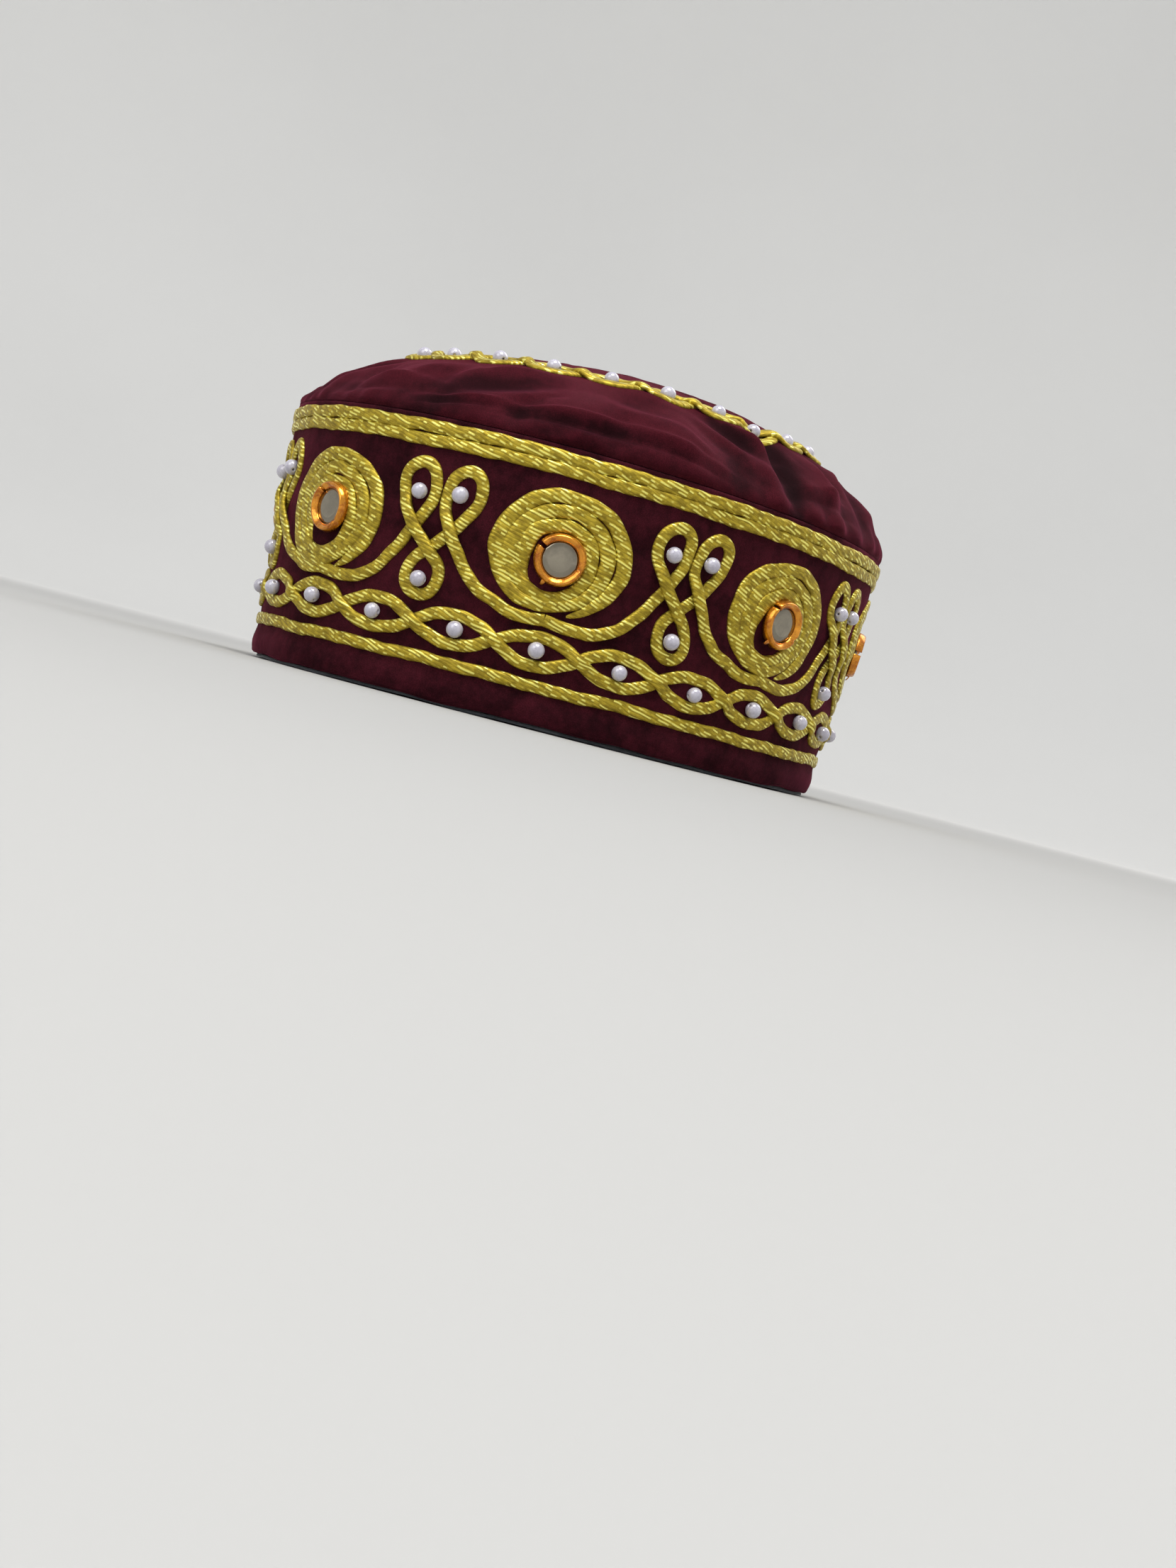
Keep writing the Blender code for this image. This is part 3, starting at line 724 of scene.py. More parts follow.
# Closed wall: the dome's grid, and inside it fewer rows of the same grid moved in by the thickness.
def makeCrown():
    inner = (crownGrid - gridNormals(crownGrid) * crown["thickness"])[::crown["innerStep"]]
    rows = np.concatenate([inner[::-1], crownGrid])
    quads, _, _ = gridCorners(len(rows), crown["columns"], False, True)
    innerTop = crownTop - np.array([0.0, 0.0, crown["thickness"]])
    points = np.concatenate([rows.reshape(-1, 3), innerTop[None], crownTop[None]])
    caps = endFans(len(rows), crown["columns"], flip=True)
    inside = np.zeros(len(inner) * crown["columns"])
    # Painted shade that grows with each fold's depth, and painted light where the depth is below zero, on
    # lips and bulges.
    foldShaded = np.clip(foldDepth / crown["fullShadeDepth"], -0.45, 1.0).ravel()
    paintedFoldShade = np.concatenate([inside, foldShaded, [0.0, 0.0]])
    piece = meshObject("velvet_crown", points, [quads[:, ::-1], *caps], crownVelvet, paintedFoldShade=paintedFoldShade)
    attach(piece, root)
    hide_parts("crown")


makeCrown()
print("crown made")

# Lining: inside the band, across under the crown, and turned down to show as a thin edge below the velvet
lining = {
    "inset": 0.0029,
    "thickness": 0.0008,
    "edge": 0.0010,
    "edgeWander": 0.00025,
    "lip": 0.0010,  # how far the turned edge comes out under the velvet
    "turn": 0.0008,  # of the edge's fold, inward and upward
    "top": 0.0770,
    "underCrown": 0.0040,
    "wallRows": 22,
    "firstRow": 6,  # of the crown's rows that it follows, and the step between them
    "rowStep": 5,
    "columnStep": 2,
    "slackReach": 0.0007,
}


# Open surface from the lip under the velvet's edge, up the wall and along under the crown, then thickened.
def makeLining():
    angle = crownAngles[::lining["columnStep"]]
    columns = len(angle)
    level = levelNormals(angle)
    edge = lining["edge"] + ripple(angle, 0.0, 41, (5, 9, 14, 22), lining["edgeWander"])
    start = edge + lining["turn"]
    rows = [wallPoints(angle, edge + 0.0001) - level * lining["lip"],
            wallPoints(angle, edge) - level * (lining["inset"] - lining["turn"])]
    for share in np.linspace(0.0, 1.0, lining["wallRows"]):
        height = start + (lining["top"] - start) * share
        slack = ripple(angle, height, 43, (4, 6, 9, 14), lining["slackReach"]) * math.sin(math.pi * share)
        rows.append(wallPoints(angle, height) - level * (lining["inset"] + np.abs(slack))[:, None])
    under = crownGrid - gridNormals(crownGrid) * lining["underCrown"]
    rows.extend(under[lining["firstRow"]::lining["rowStep"], ::lining["columnStep"]])
    points = np.stack(rows)
    peak = crownTop - np.array([0.0, 0.0, lining["underCrown"]])
    quads, cornerRows, cornerColumns = gridCorners(len(rows), columns, False, True)
    steps = np.linalg.norm(np.diff(points, axis=0), axis=2).mean(axis=1)
    upMm = 1000.0 * np.concatenate([[0.0], np.cumsum(steps)])
    roundMm = 1000.0 * ovalLength * np.arange(columns + 1) / columns
    uv = np.stack([roundMm[cornerColumns], upMm[cornerRows]], axis=-1)[:, ::-1]
    last = (len(rows) - 1) * columns + np.arange(columns)
    cap = fanCorners(last, points.shape[0] * points.shape[1])
    capUv = np.stack([np.stack([roundMm[:-1], roundMm[1:], roundMm[:-1]], axis=1),
                      np.broadcast_to([upMm[-1], upMm[-1], upMm[-1] + 3.0], (columns, 3))], axis=-1)
    everyUv = np.concatenate([uv.reshape(-1, 2), capUv.reshape(-1, 2)])
    every = np.concatenate([points.reshape(-1, 3), peak[None]])
    piece = meshObject("cap_lining", every, [quads[:, ::-1], cap], liningCotton, everyUv)
    wall = piece.modifiers.new("thickness", "SOLIDIFY")
    wall.thickness = lining["thickness"]
    wall.offset = -1.0
    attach(piece, root)
    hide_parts("lining")


makeLining()
print("lining made")

# Gold cord: a flat-rounded section carried along each path
cord = {
    "width": 0.0037,
    "thickness": 0.00145,
    "sink": 0.0004,  # how deep its underside sits in the pile
    "sides": 12,
    "squareness": 0.62,  # under 1 makes the section flatter on top
    "topShare": 0.82,  # of the thickness, above the section's widest place
    "belly": 0.22,  # how far the underside curves down, as a share of the top
    "step": 0.0005,
    "wanderLength": 0.013,
    "widthWander": 0.035,
    "sideWander": 0.00009,
    "endTaper": 0.0012,
    "waverRates": (1.0, 2.3, 0.7, 1.6),  # two waverings of the width, then two to the sides
}


# D-shaped section as (across, rise) shares: a rounded top on a nearly flat underside.
def cordSection(sides):
    turn = 2.0 * np.pi * (np.arange(sides) + 0.5) / sides - np.pi / 2.0
    across = np.sign(np.cos(turn)) * np.abs(np.cos(turn)) ** cord["squareness"]
    up = np.sin(turn)
    rise = np.where(up > 0.0, np.abs(up) ** cord["squareness"], -cord["belly"] * np.abs(up))
    return across, rise * cord["topShare"] + (1.0 - cord["topShare"])


# Carries the section along the points: tangent by differences, side = tangent x normal. The path is the
# same way as lengths along and up the cloth, for the texture. The period is its length if it closes.
def layCord(name, path, points, normals, seed, period, width, nodes, tapered=True):
    dice = np.random.default_rng(seed)
    count = len(points)
    closed = period > 0.0
    if closed:
        ahead = np.roll(points, -1, axis=0) - np.roll(points, 1, axis=0)
        reach = np.linalg.norm(np.roll(points, -1, axis=0) - points, axis=1)
    else:
        ahead = np.gradient(points, axis=0)
        reach = np.append(np.linalg.norm(np.diff(points, axis=0), axis=1), 0.0)
    ahead = unit(ahead)
    side = unit(np.cross(ahead, normals))
    out = np.cross(side, ahead)
    travelled = np.concatenate([[0.0], np.cumsum(reach)])
    turns = 2.0 * np.pi * travelled[:-1] / travelled[-1]
    waves = max(3, int(travelled[-1] / cord["wanderLength"]))
    phases = dice.uniform(0.0, 2.0 * np.pi, 4)
    waver = [np.sin(int(waves * rate) * turns + phase) for rate, phase in zip(cord["waverRates"], phases)]
    stretch = 1.0 + cord["widthWander"] * 0.5 * (waver[0] + waver[1])
    shift = cord["sideWander"] * (waver[2] + waver[3])
    across, rise = cordSection(cord["sides"])
    fromEnd = np.minimum(travelled[:-1], travelled[-1] - travelled[:-1])
    if not closed:
        settled = np.clip(fromEnd / cord["wanderLength"], 0.0, 1.0)
        stretch = 1.0 + (stretch - 1.0) * settled
        shift = shift * settled
    half = width / 2.0 * stretch
    tall = cord["thickness"] * (2.0 - stretch)
    if tapered and not closed:
        toEnd = 1.0 - np.clip(fromEnd / cord["endTaper"], 0.0, 1.0)
        taper = np.sqrt(np.clip(1.0 - toEnd ** 2, 0.06, 1.0))
        half = half * taper
        tall = tall * (0.5 + 0.5 * taper)
    centre = points + side * shift[:, None] - out * cord["sink"]
    rings = (centre[:, None, :] + side[:, None, :] * (half[:, None] * across)[..., None]
             + out[:, None, :] * (tall[:, None] * rise)[..., None])
    quads, cornerRows, cornerColumns = gridCorners(count, cord["sides"], closed, True)
    flat = 1000.0 * path[:, :2]
    flatAhead = unit(np.gradient(flat, axis=0))
    flatSide = np.stack([flatAhead[:, 1], -flatAhead[:, 0]], axis=1)
    spread = flat[:, None, :] + flatSide[:, None, :] * (1000.0 * half[:, None] * across)[..., None]
    if closed:
        spread = np.concatenate([spread, spread[:1] + np.array([1000.0 * period, 0.0])])
    uv = spread[cornerRows, cornerColumns % cord["sides"]].reshape(-1, 2)
    every = rings.reshape(-1, 3)
    parts = [quads]
    if not closed:
        every = np.concatenate([every, rings[[0, -1]].mean(axis=1)])
        parts += endFans(count, cord["sides"])
        uv = np.concatenate([uv, np.repeat(flat[[0, -1]], 3 * cord["sides"], axis=0)])
    piece = meshObject(name, every, parts, goldCord, uv)
    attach(piece, root)
    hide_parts(*nodes)
    return piece


def layOnBand(name, path, seed, period, nodes, width=cord["width"], tapered=True):
    points, normals = bandPlaces(path[:, 0], path[:, 1], path[:, 2])
    return layCord(name, path, points, normals, seed, period, width, nodes, tapered)


# Rows of plain cord: one under the waves and two side by side under the crown's seam
trimColumns = ("name", "node", "height", "wander", "seed")
trimRows = (
    ("trim_lower", "lower_cord", 0.0122, 0.00045, 61),
    ("trim_upper_first", "upper_cord_lower", 0.0729, 0.00040, 62),
    ("trim_upper_second", "upper_cord_upper", 0.0764, 0.00030, 63),
)
for rowValues in trimRows:
    trim = dict(zip(trimColumns, rowValues))
    along = np.arange(0.0, ovalLength, cord["step"])
    height = trim["height"] + ripple(angleAt(along), 0.0, trim["seed"], (3, 8, 13, 19), trim["wander"])
    path = np.stack([along, height, np.zeros_like(along)], axis=1)
    layOnBand(trim["name"], path, trim["seed"], ovalLength, [trim["node"]])
print("trim cords laid")

# Waves: two cords that cross between eyes, on the band and round the crown
wave = {
    "sideHeight": 0.0220,
    "sideReach": 0.0042,
    "crownShare": 0.68,
    "crownReach": 0.0036,
    "fullness": 0.14,  # by which an eye is rounder than a plain sine
    "lift": 0.0013,
    "crossHalf": 0.0026,  # half length of the hump over a crossing
    "wander": 0.0004,
    "nudge": 0.004,  # steps of share and turn by which the crown's slope is read
    "nudgeWide": 0.02,
}
eyeCount = motifCount * eyesPerMotif
ringLength = ovalLength * wave["crownShare"] * (1.0 + oval["flare"] * crown["seamHeight"]) / (
    1.0 + oval["flare"] * oval["trueHeight"])


# Height = middle +- reach sin, changing sign at each crossing. The falling cord humps over the other.
def wavePath(length, middle, reach, rising, seed):
    along = np.arange(0.0, length, cord["step"])
    eye = length / eyeCount
    place = along / eye + 0.5
    index = np.floor(place).astype(int)
    part = place - index
    sign = np.where((index % 2 == 0) == rising, 1.0, -1.0)
    full = np.sin(np.pi * part)
    height = middle + sign * reach * full * (1.0 + wave["fullness"] * (1.0 - full ** 2))
    nearest = np.round(place)
    fallsThere = np.where((nearest.astype(int) % 2 == 0) == rising, 0.0, 1.0)
    hump = wave["lift"] * fallsThere * np.exp(-((place - nearest) * eye / wave["crossHalf"]) ** 2)
    uneven = ripple(2.0 * np.pi * along / length, 0.0, seed, (5, 9, 14, 21), wave["wander"])
    return np.stack([along, height + uneven, hump], axis=1)


# Points beside the crown's ring, a little way up towards the top, and the cloth's normals there.
def crownPlaces(along, up, lift):
    angle = angleAt(along * ovalLength / ringLength)
    nudge = wave["nudge"]
    meridian = crownAt(angle, wave["crownShare"] + nudge) - crownAt(angle, wave["crownShare"] - nudge)
    share = wave["crownShare"] - up * 2.0 * nudge / np.linalg.norm(meridian, axis=-1)
    nudge = wave["nudgeWide"]
    rightward = crownAt(angle + nudge, share) - crownAt(angle - nudge, share)
    upward = crownAt(angle, share - nudge) - crownAt(angle, share + nudge)
    normals = unit(np.cross(rightward, upward))
    return crownAt(angle, share) + normals * lift[:, None], normals


for letter, rising in (("a", True), ("b", False)):
    path = wavePath(ovalLength, wave["sideHeight"], wave["sideReach"], rising, 71)
    layOnBand("side_wave_cord_" + letter, path, 73, ovalLength, ["side_wave_" + letter])
    path = wavePath(ringLength, 0.0, wave["crownReach"], rising, 75)
    points, normals = crownPlaces(path[:, 0], path[:, 1], path[:, 2])
    layCord("crown_wave_cord_" + letter, path, points, normals, 77, ringLength, cord["width"],
            ["crown_wave_" + letter])
print("waves laid")

# Coils: a spiral wound clockwise outwards, loose at the upper right and crowded at the bottom
coil = {
    "turns": 2.9,
    "endDeg": 285.0,
    "outline": (18.95, -0.91, -0.76, 1.10, 0.37),  # mean, cos t, sin t, cos 2t, sin 2t, in millimetres
    "spacing": (3.87, 0.31, 0.65, 0.52, 0.0),
    "overlap": 0.00050,  # mean overlap of neighbouring cords
    "opening": 0.00060,  # by which they part more towards the upper right
    "openingDeg": 45.0,
    "variety": 0.35,  # how much the shapes differ from coil to coil
    "tuckDeg": 65.0,  # over which each end slips in beside its neighbour
    "tuckDepth": 0.0012,
    "innerNarrowing": 0.45,
    "outerNarrowing": 0.75,
    "wander": 0.00016,
    "wound": 0.215,  # rough length, which only sets the number of steps
}
# How each motif was laid, in millimetres: its coil's place and its cup's
motifColumns = ("coilAlong", "coilHeight", "cupAlong", "cupHeight")
motifRows = (
    (-0.2, 49.4, 0.1, 48.6),
    (0.0, 50.8, 0.1, 48.4),
    (0.3, 50.2, 0.9, 48.6),
    (0.2, 50.9, 0.3, 49.6),
    (-0.3, 50.2, -0.3, 49.0),
    (0.1, 51.0, 0.4, 49.5),
    (0.0, 50.0, -0.2, 48.8),
    (0.2, 50.6, 0.5, 49.2),
)


# Mean, first and second cosines and sines of a turn, summed.
def harmonics(values, turn):
    waves = (np.ones_like(turn), np.cos(turn), np.sin(turn), np.cos(2.0 * turn), np.sin(2.0 * turn))
    return sum(value * wave for value, wave in zip(values, waves)) / 1000.0


def motifValues(number):
    return dict(zip(motifColumns, (value / 1000.0 for value in motifRows[number])))


# Radius = outline(t) - spacing(t) x turns left, about the coil's middle.
def coilPath(number):
    laid = motifValues(number)
    dice = np.random.default_rng(80 + number)
    vary = np.array([0.0, 1.0, 1.0, 1.0, 1.0]) * coil["variety"] * (number != frontMotif)
    outline = np.array(coil["outline"]) + vary * dice.uniform(-1.0, 1.0, 5)
    spacing = np.array(coil["spacing"]) + vary * dice.uniform(-0.4, 0.4, 5)
    left = coil["turns"] * np.linspace(1.0, 0.0, int(coil["wound"] / cord["step"]))
    turn = math.radians(coil["endDeg"]) + 2.0 * np.pi * left
    phases = dice.uniform(0.0, 2.0 * np.pi, 2)
    uneven = coil["wander"] * (np.sin(3.3 * turn + phases[0]) + 0.6 * np.sin(5.7 * turn + phases[1]))
    tuck = coil["tuckDeg"] / 360.0
    outerTuck = np.clip(1.0 - left / (0.7 * tuck), 0.0, 1.0) ** 2
    innerTuck = np.clip(1.0 - (coil["turns"] - left) / tuck, 0.0, 1.0) ** 1.5
    apart = harmonics(spacing, turn)
    radius = harmonics(outline, turn) - apart * (left - 0.8 * innerTuck) + uneven
    along = motifLength * number + laid["coilAlong"] + radius * np.cos(turn)
    height = laid["coilHeight"] + radius * np.sin(turn)
    width = apart + coil["overlap"] - coil["opening"] * np.cos(turn - math.radians(coil["openingDeg"]))
    width = width * (1.0 - coil["innerNarrowing"] * innerTuck - coil["outerNarrowing"] * outerTuck)
    return np.stack([along, height, -coil["tuckDepth"] * (outerTuck + innerTuck)], axis=1), width


for number in range(motifCount):
    path, width = coilPath(number)
    layOnBand(f"coil_cord_{number + 1}", path, 90 + number, 0.0, [f"coil_{number + 1}"], width)
print("coils laid")

# Knots: half of the cord's way in millimetres, along the band and above the rim. The rest mirrors it.
knotHalfMm = (  # along, height, lift, and the mirrored point's lift
    (-28.0, 30.0, 0.0, 0.0),
    (-21.5, 30.9, 0.0, 0.0),
    (-16.2, 33.5, 0.0, 0.0),
    (-12.0, 37.9, 0.0, 0.0),
    (-8.0, 43.7, 0.0, 1.3),
    (-4.2, 50.4, 0.0, 1.3),
    (-2.2, 55.0, 0.0, 0.0),
    (-1.9, 59.8, 0.0, 0.0),
    (-3.2, 64.4, 0.0, 0.0),
    (-6.5, 66.4, 0.0, 0.0),
    (-9.9, 64.5, 0.0, 0.0),
    (-11.2, 60.2, 0.0, 0.0),
    (-10.2, 56.2, 0.0, 0.0),
    (-7.9, 52.0, 1.3, 0.0),
    (-3.8, 46.8, 1.3, 0.0),
    (1.0, 41.8, 1.3, 0.0),
    (3.9, 37.9, 0.0, 0.0),
    (4.6, 34.0, 0.0, 0.0),
    (3.1, 30.6, 0.0, 0.0),
)
knot = {
    "swagHeight": 31.0,
    "bottom": 29.3,
    "middle": 46.0,
    "overlap": 0.1,
    "leanHalf": 18.0,  # height from the middle at which a lean counts in full
    "leanWidth": 13.0,  # beyond which the swags stay as they are
    "slackReach": 2.0,  # how much higher the swag hangs on a knot's right
    "slackPlace": 20.0,
    "slackHalf": 8.0,
}
# How each knot was couched: how far its top and its foot lean along the band, and how wide it spreads
leanColumns = ("top", "foot", "spread")
knotLeans = (
    (0.6, -0.6, 1.08),
    (1.2, 1.8, 1.00),
    (-0.6, 0.4, 0.97),
    (0.8, -0.6, 1.03),
    (-1.0, 0.8, 0.98),
    (0.4, 1.0, 1.02),
    (-0.7, -0.9, 1.00),
    (0.9, 0.3, 0.98),
)


# Shift of a knot's point along the band: its lean times the square of its height from the middle.
def leanShift(lean, height):
    away = (height - knot["middle"]) / knot["leanHalf"]
    return np.where(away > 0.0, lean["top"], lean["foot"]) * away ** 2


# The plain knot's points, leaned by a smooth shear that is nothing at its middle and its two ends.
def knotPath(number):
    half = 1000.0 * motifLength / 2.0 + knot["overlap"]
    rows = [(along, height, lift) for along, height, lift, _ in knotHalfMm]
    mirrored = [(-along, height, mirrorLift) for along, height, _, mirrorLift in reversed(knotHalfMm)]
    whole = np.array([(-half, knot["swagHeight"], 0.0), *rows, (0.0, knot["bottom"], 0.0), *mirrored,
                      (half, knot["swagHeight"], 0.0)])
    lean = dict(zip(leanColumns, knotLeans[number]))
    inside = np.exp(-(whole[:, 0] / knot["leanWidth"]) ** 6)
    spread = 1.0 + (lean["spread"] - 1.0) * inside
    whole[:, 0] = whole[:, 0] * spread + leanShift(lean, whole[:, 1]) * inside
    slack = np.exp(-((whole[:, 0] - knot["slackPlace"]) / knot["slackHalf"]) ** 2)
    whole[:, 1] += knot["slackReach"] * slack * (whole[:, 1] < knot["middle"])
    curve = splineThrough(whole / 1000.0, cord["step"])
    curve[:, 2] = np.clip(curve[:, 2], 0.0, None)
    curve[:, 0] += motifLength * (number + 0.5)
    return curve


for number in range(motifCount):
    layOnBand(f"knot_cord_{number + 1}", knotPath(number), 110 + number, 0.0, [f"knot_{number + 1}"],
              tapered=False)
print("knots laid")

# Pearls: small beads with a thread hole, sewn down on their side
pearl = {
    "radius": 0.00235,
    "hole": 0.00042,
    "rings": 14,
    "sides": 18,
    "sink": 0.0008,
    "crownSink": 0.0006,  # deeper still on the soft crown
    "jitter": 0.0005,
    "tip": 0.25,
    "sizes": (0.95, 1.04),
    "boreShare": 0.8,  # width and length of the hole's inside, as shares of its edge and of the radius
    "boreLength": 0.6,
}
knotPearlsMm = ((-5.9, 58.0), (5.9, 58.6), (0.0, 34.0))  # from a knot's middle, and above the rim


# One bead turned about its hole: radius = R sin t, from edge to edge of the hole and back through it.
def pearlMeshes(places, normals, ways, seed):
    dice = np.random.default_rng(seed)
    start = math.asin(pearl["hole"] / pearl["radius"])
    turn = np.linspace(start, np.pi - start, pearl["rings"])
    outward = pearl["radius"] * np.sin(turn)
    axial = pearl["radius"] * np.cos(turn)
    bore = pearl["radius"] * pearl["boreLength"]
    profile = np.concatenate([outward, [pearl["hole"] * pearl["boreShare"]] * 2])
    lengths = np.concatenate([axial, [-bore, bore]])
    bead = np.roll(turnedRows(profile, lengths, pearl["sides"]), 1, axis=-1)
    sizes = dice.uniform(*pearl["sizes"], len(places))
    side = unit(np.cross(ways, normals))
    way = np.cross(normals, side)
    basis = np.stack([way, side, normals], axis=1)
    centres = places + normals * (pearl["radius"] * sizes - pearl["sink"])[:, None]
    beads = centres[:, None, None, :] + np.einsum("rsk,nkc->nrsc", bead, basis) * sizes[:, None, None, None]
    quads, _, _ = gridCorners(len(profile), pearl["sides"], True, True)
    step = len(profile) * pearl["sides"]
    corners = (quads[None] + step * np.arange(len(places))[:, None, None]).reshape(-1, 4)
    return beads.reshape(-1, 3), corners[:, ::-1]


def sewPearls(name, places, normals, ways, seed, deeper=0.0):
    points, corners = pearlMeshes(places - normals * deeper, normals, ways, seed)
    piece = meshObject(name, points, [corners], pearlLustre)
    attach(piece, root)


# Directions in the cloth near level, each turned by a random angle, for the beads' holes.
def tiltedWays(normals, seed, spread):
    dice = np.random.default_rng(seed)
    level = unit(np.cross(np.broadcast_to([0.0, 0.0, 1.0], normals.shape), normals))
    upward = np.cross(normals, level)
    turn = dice.normal(0.0, spread, len(normals))[:, None]
    tip = dice.normal(0.0, pearl["tip"], len(normals))[:, None]
    return unit(level * np.cos(turn) + upward * np.sin(turn) + normals * tip)


def makePearls():
    dice = np.random.default_rng(131)
    jitter = dice.normal(0.0, pearl["jitter"], (eyeCount, 2))
    still = np.zeros(eyeCount)
    along = ovalLength / eyeCount * np.arange(eyeCount) + jitter[:, 0]
    places, normals = bandPlaces(along, wave["sideHeight"] + jitter[:, 1] * 0.6, still)
    sewPearls("side_pearls", places, normals, tiltedWays(normals, 133, 0.5), 135)
    along = ringLength / eyeCount * np.arange(eyeCount) + jitter[::-1, 0] * 0.8
    places, normals = crownPlaces(along, jitter[::-1, 1] * 0.5, still)
    sewPearls("crown_pearls", places, normals, tiltedWays(normals, 137, 0.6), 139, pearl["crownSink"])
    spots = []
    for number in range(motifCount):
        lean = dict(zip(leanColumns, knotLeans[number]))
        wander = dice.normal(0.0, 1000.0 * pearl["jitter"], (3, 2))
        for (sideways, height), moved in zip(knotPearlsMm, wander):
            sideways = sideways + leanShift(lean, height) + moved[0]
            spots.append((motifLength * (number + 0.5) + sideways / 1000.0, (height + moved[1]) / 1000.0))
    spots = np.array(spots)
    places, normals = bandPlaces(spots[:, 0], spots[:, 1], np.zeros(len(spots)))
    sewPearls("knot_pearls", places, normals, tiltedWays(normals, 141, 0.7), 143)


makePearls()
print("pearls sewn")

# Cups and mirrors
cup = {
    "seat": 0.0005,
    "outerRadius": 0.0076,
    "topRadius": 0.0071,
    "lipRadius": 0.0052,
    "height": 0.0025,
    "slitDeg": 153.0,
    "slitWidthDeg": 10.0,
    "notchDeg": 346.0,
    "notchDepth": 0.0006,
    "notchHalfDeg": 5.0,
    "spinDeg": 25.0,  # most by which a cup is turned from the front one
    "uneven": 0.012,
    "columns": 96,
    "tabDeg": 246.0,
    "tabLength": 0.0016,
    "tabWidth": 0.0013,
    "tabThickness": 0.0004,
    "tabSeat": 0.0005,  # how far inside the ring it starts
    "tabHeight": 0.0009,
    "tabBend": 0.0007,
    "tabRows": 6,
}
# The ring's section: up the flared outside, over a narrow crest and down a long inner slope. Each row is
# how far it lies from one of the radii, and from the seat or, where fromTop is 1, from the crest.
cupProfile = (  # radius, outward, upward, fromTop
    ("outerRadius", 0.0, -0.0003, 0),
    ("outerRadius", 0.0, 0.0004, 0),
    ("outerRadius", -0.00015, 0.0012, 0),
    ("topRadius", 0.00005, -0.0005, 1),
    ("topRadius", -0.0002, -0.0001, 1),
    ("topRadius", -0.0005, 0.0, 1),
    ("topRadius", -0.0008, -0.0001, 1),
    ("lipRadius", 0.0005, -0.0007, 1),
    ("lipRadius", 0.0001, -0.0010, 1),
    ("lipRadius", 0.0, 0.0012, 0),
    ("lipRadius", -0.0001, -0.0003, 0),
)
mirror = {
    "radius": 0.00515,
    "thickness": 0.0011,
    "bevel": 0.00025,
    "underside": -0.0002,
    "dome": 0.00006,
    "columns": 64,
}


# Place and (right, up, out) axes in the middle of a coil's opening.
def stoneBasis(number):
    laid = motifValues(number)
    along = np.array([motifLength * number + laid["cupAlong"]])
    height = np.array([laid["cupHeight"]])
    places, normals = bandPlaces(along, height, np.array([cup["seat"]]))
    out = normals[0]
    up = unit(np.array([0.0, 0.0, 1.0]) - out * out[2])
    right = np.cross(up, out)
    return places[0], np.stack([right, up, out])


# The section turned about the mirror's axis from one side of the slit to the other.
def cupRing(spin):
    profile = np.array([(cup[radius] + outward, cup["height"] * fromTop + upward)
                        for radius, outward, upward, fromTop in cupProfile])
    half = cup["slitWidthDeg"] / 2.0
    fromSlit = np.linspace(cup["slitDeg"] + half, cup["slitDeg"] + 360.0 - half, cup["columns"])
    turn = np.radians(fromSlit + spin)
    fromNotch = np.degrees(wrapped(turn - math.radians(cup["notchDeg"] + spin)))
    notch = np.exp(-(fromNotch / cup["notchHalfDeg"]) ** 2)
    radius = profile[None, :, 0] * (1.0 + cup["uneven"] * np.sin(3.0 * turn + spin)[:, None])
    height = profile[None, :, 1] - notch[:, None] * cup["notchDepth"] * (profile[None, :, 1] > 0.001)
    rows = np.stack([radius * np.cos(turn)[:, None], radius * np.sin(turn)[:, None], height], axis=-1)
    quads, _, _ = gridCorners(cup["columns"], len(profile), False, True)
    points = np.concatenate([rows.reshape(-1, 3), rows[[0, -1]].mean(axis=1)])
    return points, [quads, *endFans(cup["columns"], len(profile))]


# Prong: a flat strip that runs outwards from the ring and bends down with the square of its length.
def cupTab(spin):
    turn = math.radians(cup["tabDeg"] + spin)
    outward = np.array([math.cos(turn), math.sin(turn), 0.0])
    sideways = np.array([-math.sin(turn), math.cos(turn), 0.0])
    run = np.linspace(0.0, 1.0, cup["tabRows"])[:, None]
    centre = (outward * (cup["outerRadius"] - cup["tabSeat"] + cup["tabLength"] * run)
              + np.array([0.0, 0.0, 1.0]) * (cup["tabHeight"] - cup["tabBend"] * run ** 2))
    across = sideways * (cup["tabWidth"] / 2.0 * (1.0 - 0.5 * run ** 2))
    thick = np.array([0.0, 0.0, cup["tabThickness"]])
    rows = np.stack([centre - across, centre + across, centre + across + thick, centre - across + thick],
                    axis=1)
    quads, _, _ = gridCorners(cup["tabRows"], 4, False, True)
    ends = np.stack([np.arange(4), 4 * cup["tabRows"] - 1 - np.arange(4)])
    return rows.reshape(-1, 3), [quads, ends]


def makeCup(number):
    place, basis = stoneBasis(number)
    dice = np.random.default_rng(150 + number)
    spin = dice.uniform(-cup["spinDeg"], cup["spinDeg"]) if number != frontMotif else 0.0
    ring, parts = cupRing(spin)
    tab, tabParts = cupTab(spin)
    parts += [part + len(ring) for part in tabParts]
    world = place + np.concatenate([ring, tab]) @ basis
    piece = meshObject(f"lacquer_cup_{number + 1}", world, parts, cupLacquer)
    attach(piece, root)
    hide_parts(f"mirror_cup_{number + 1}")


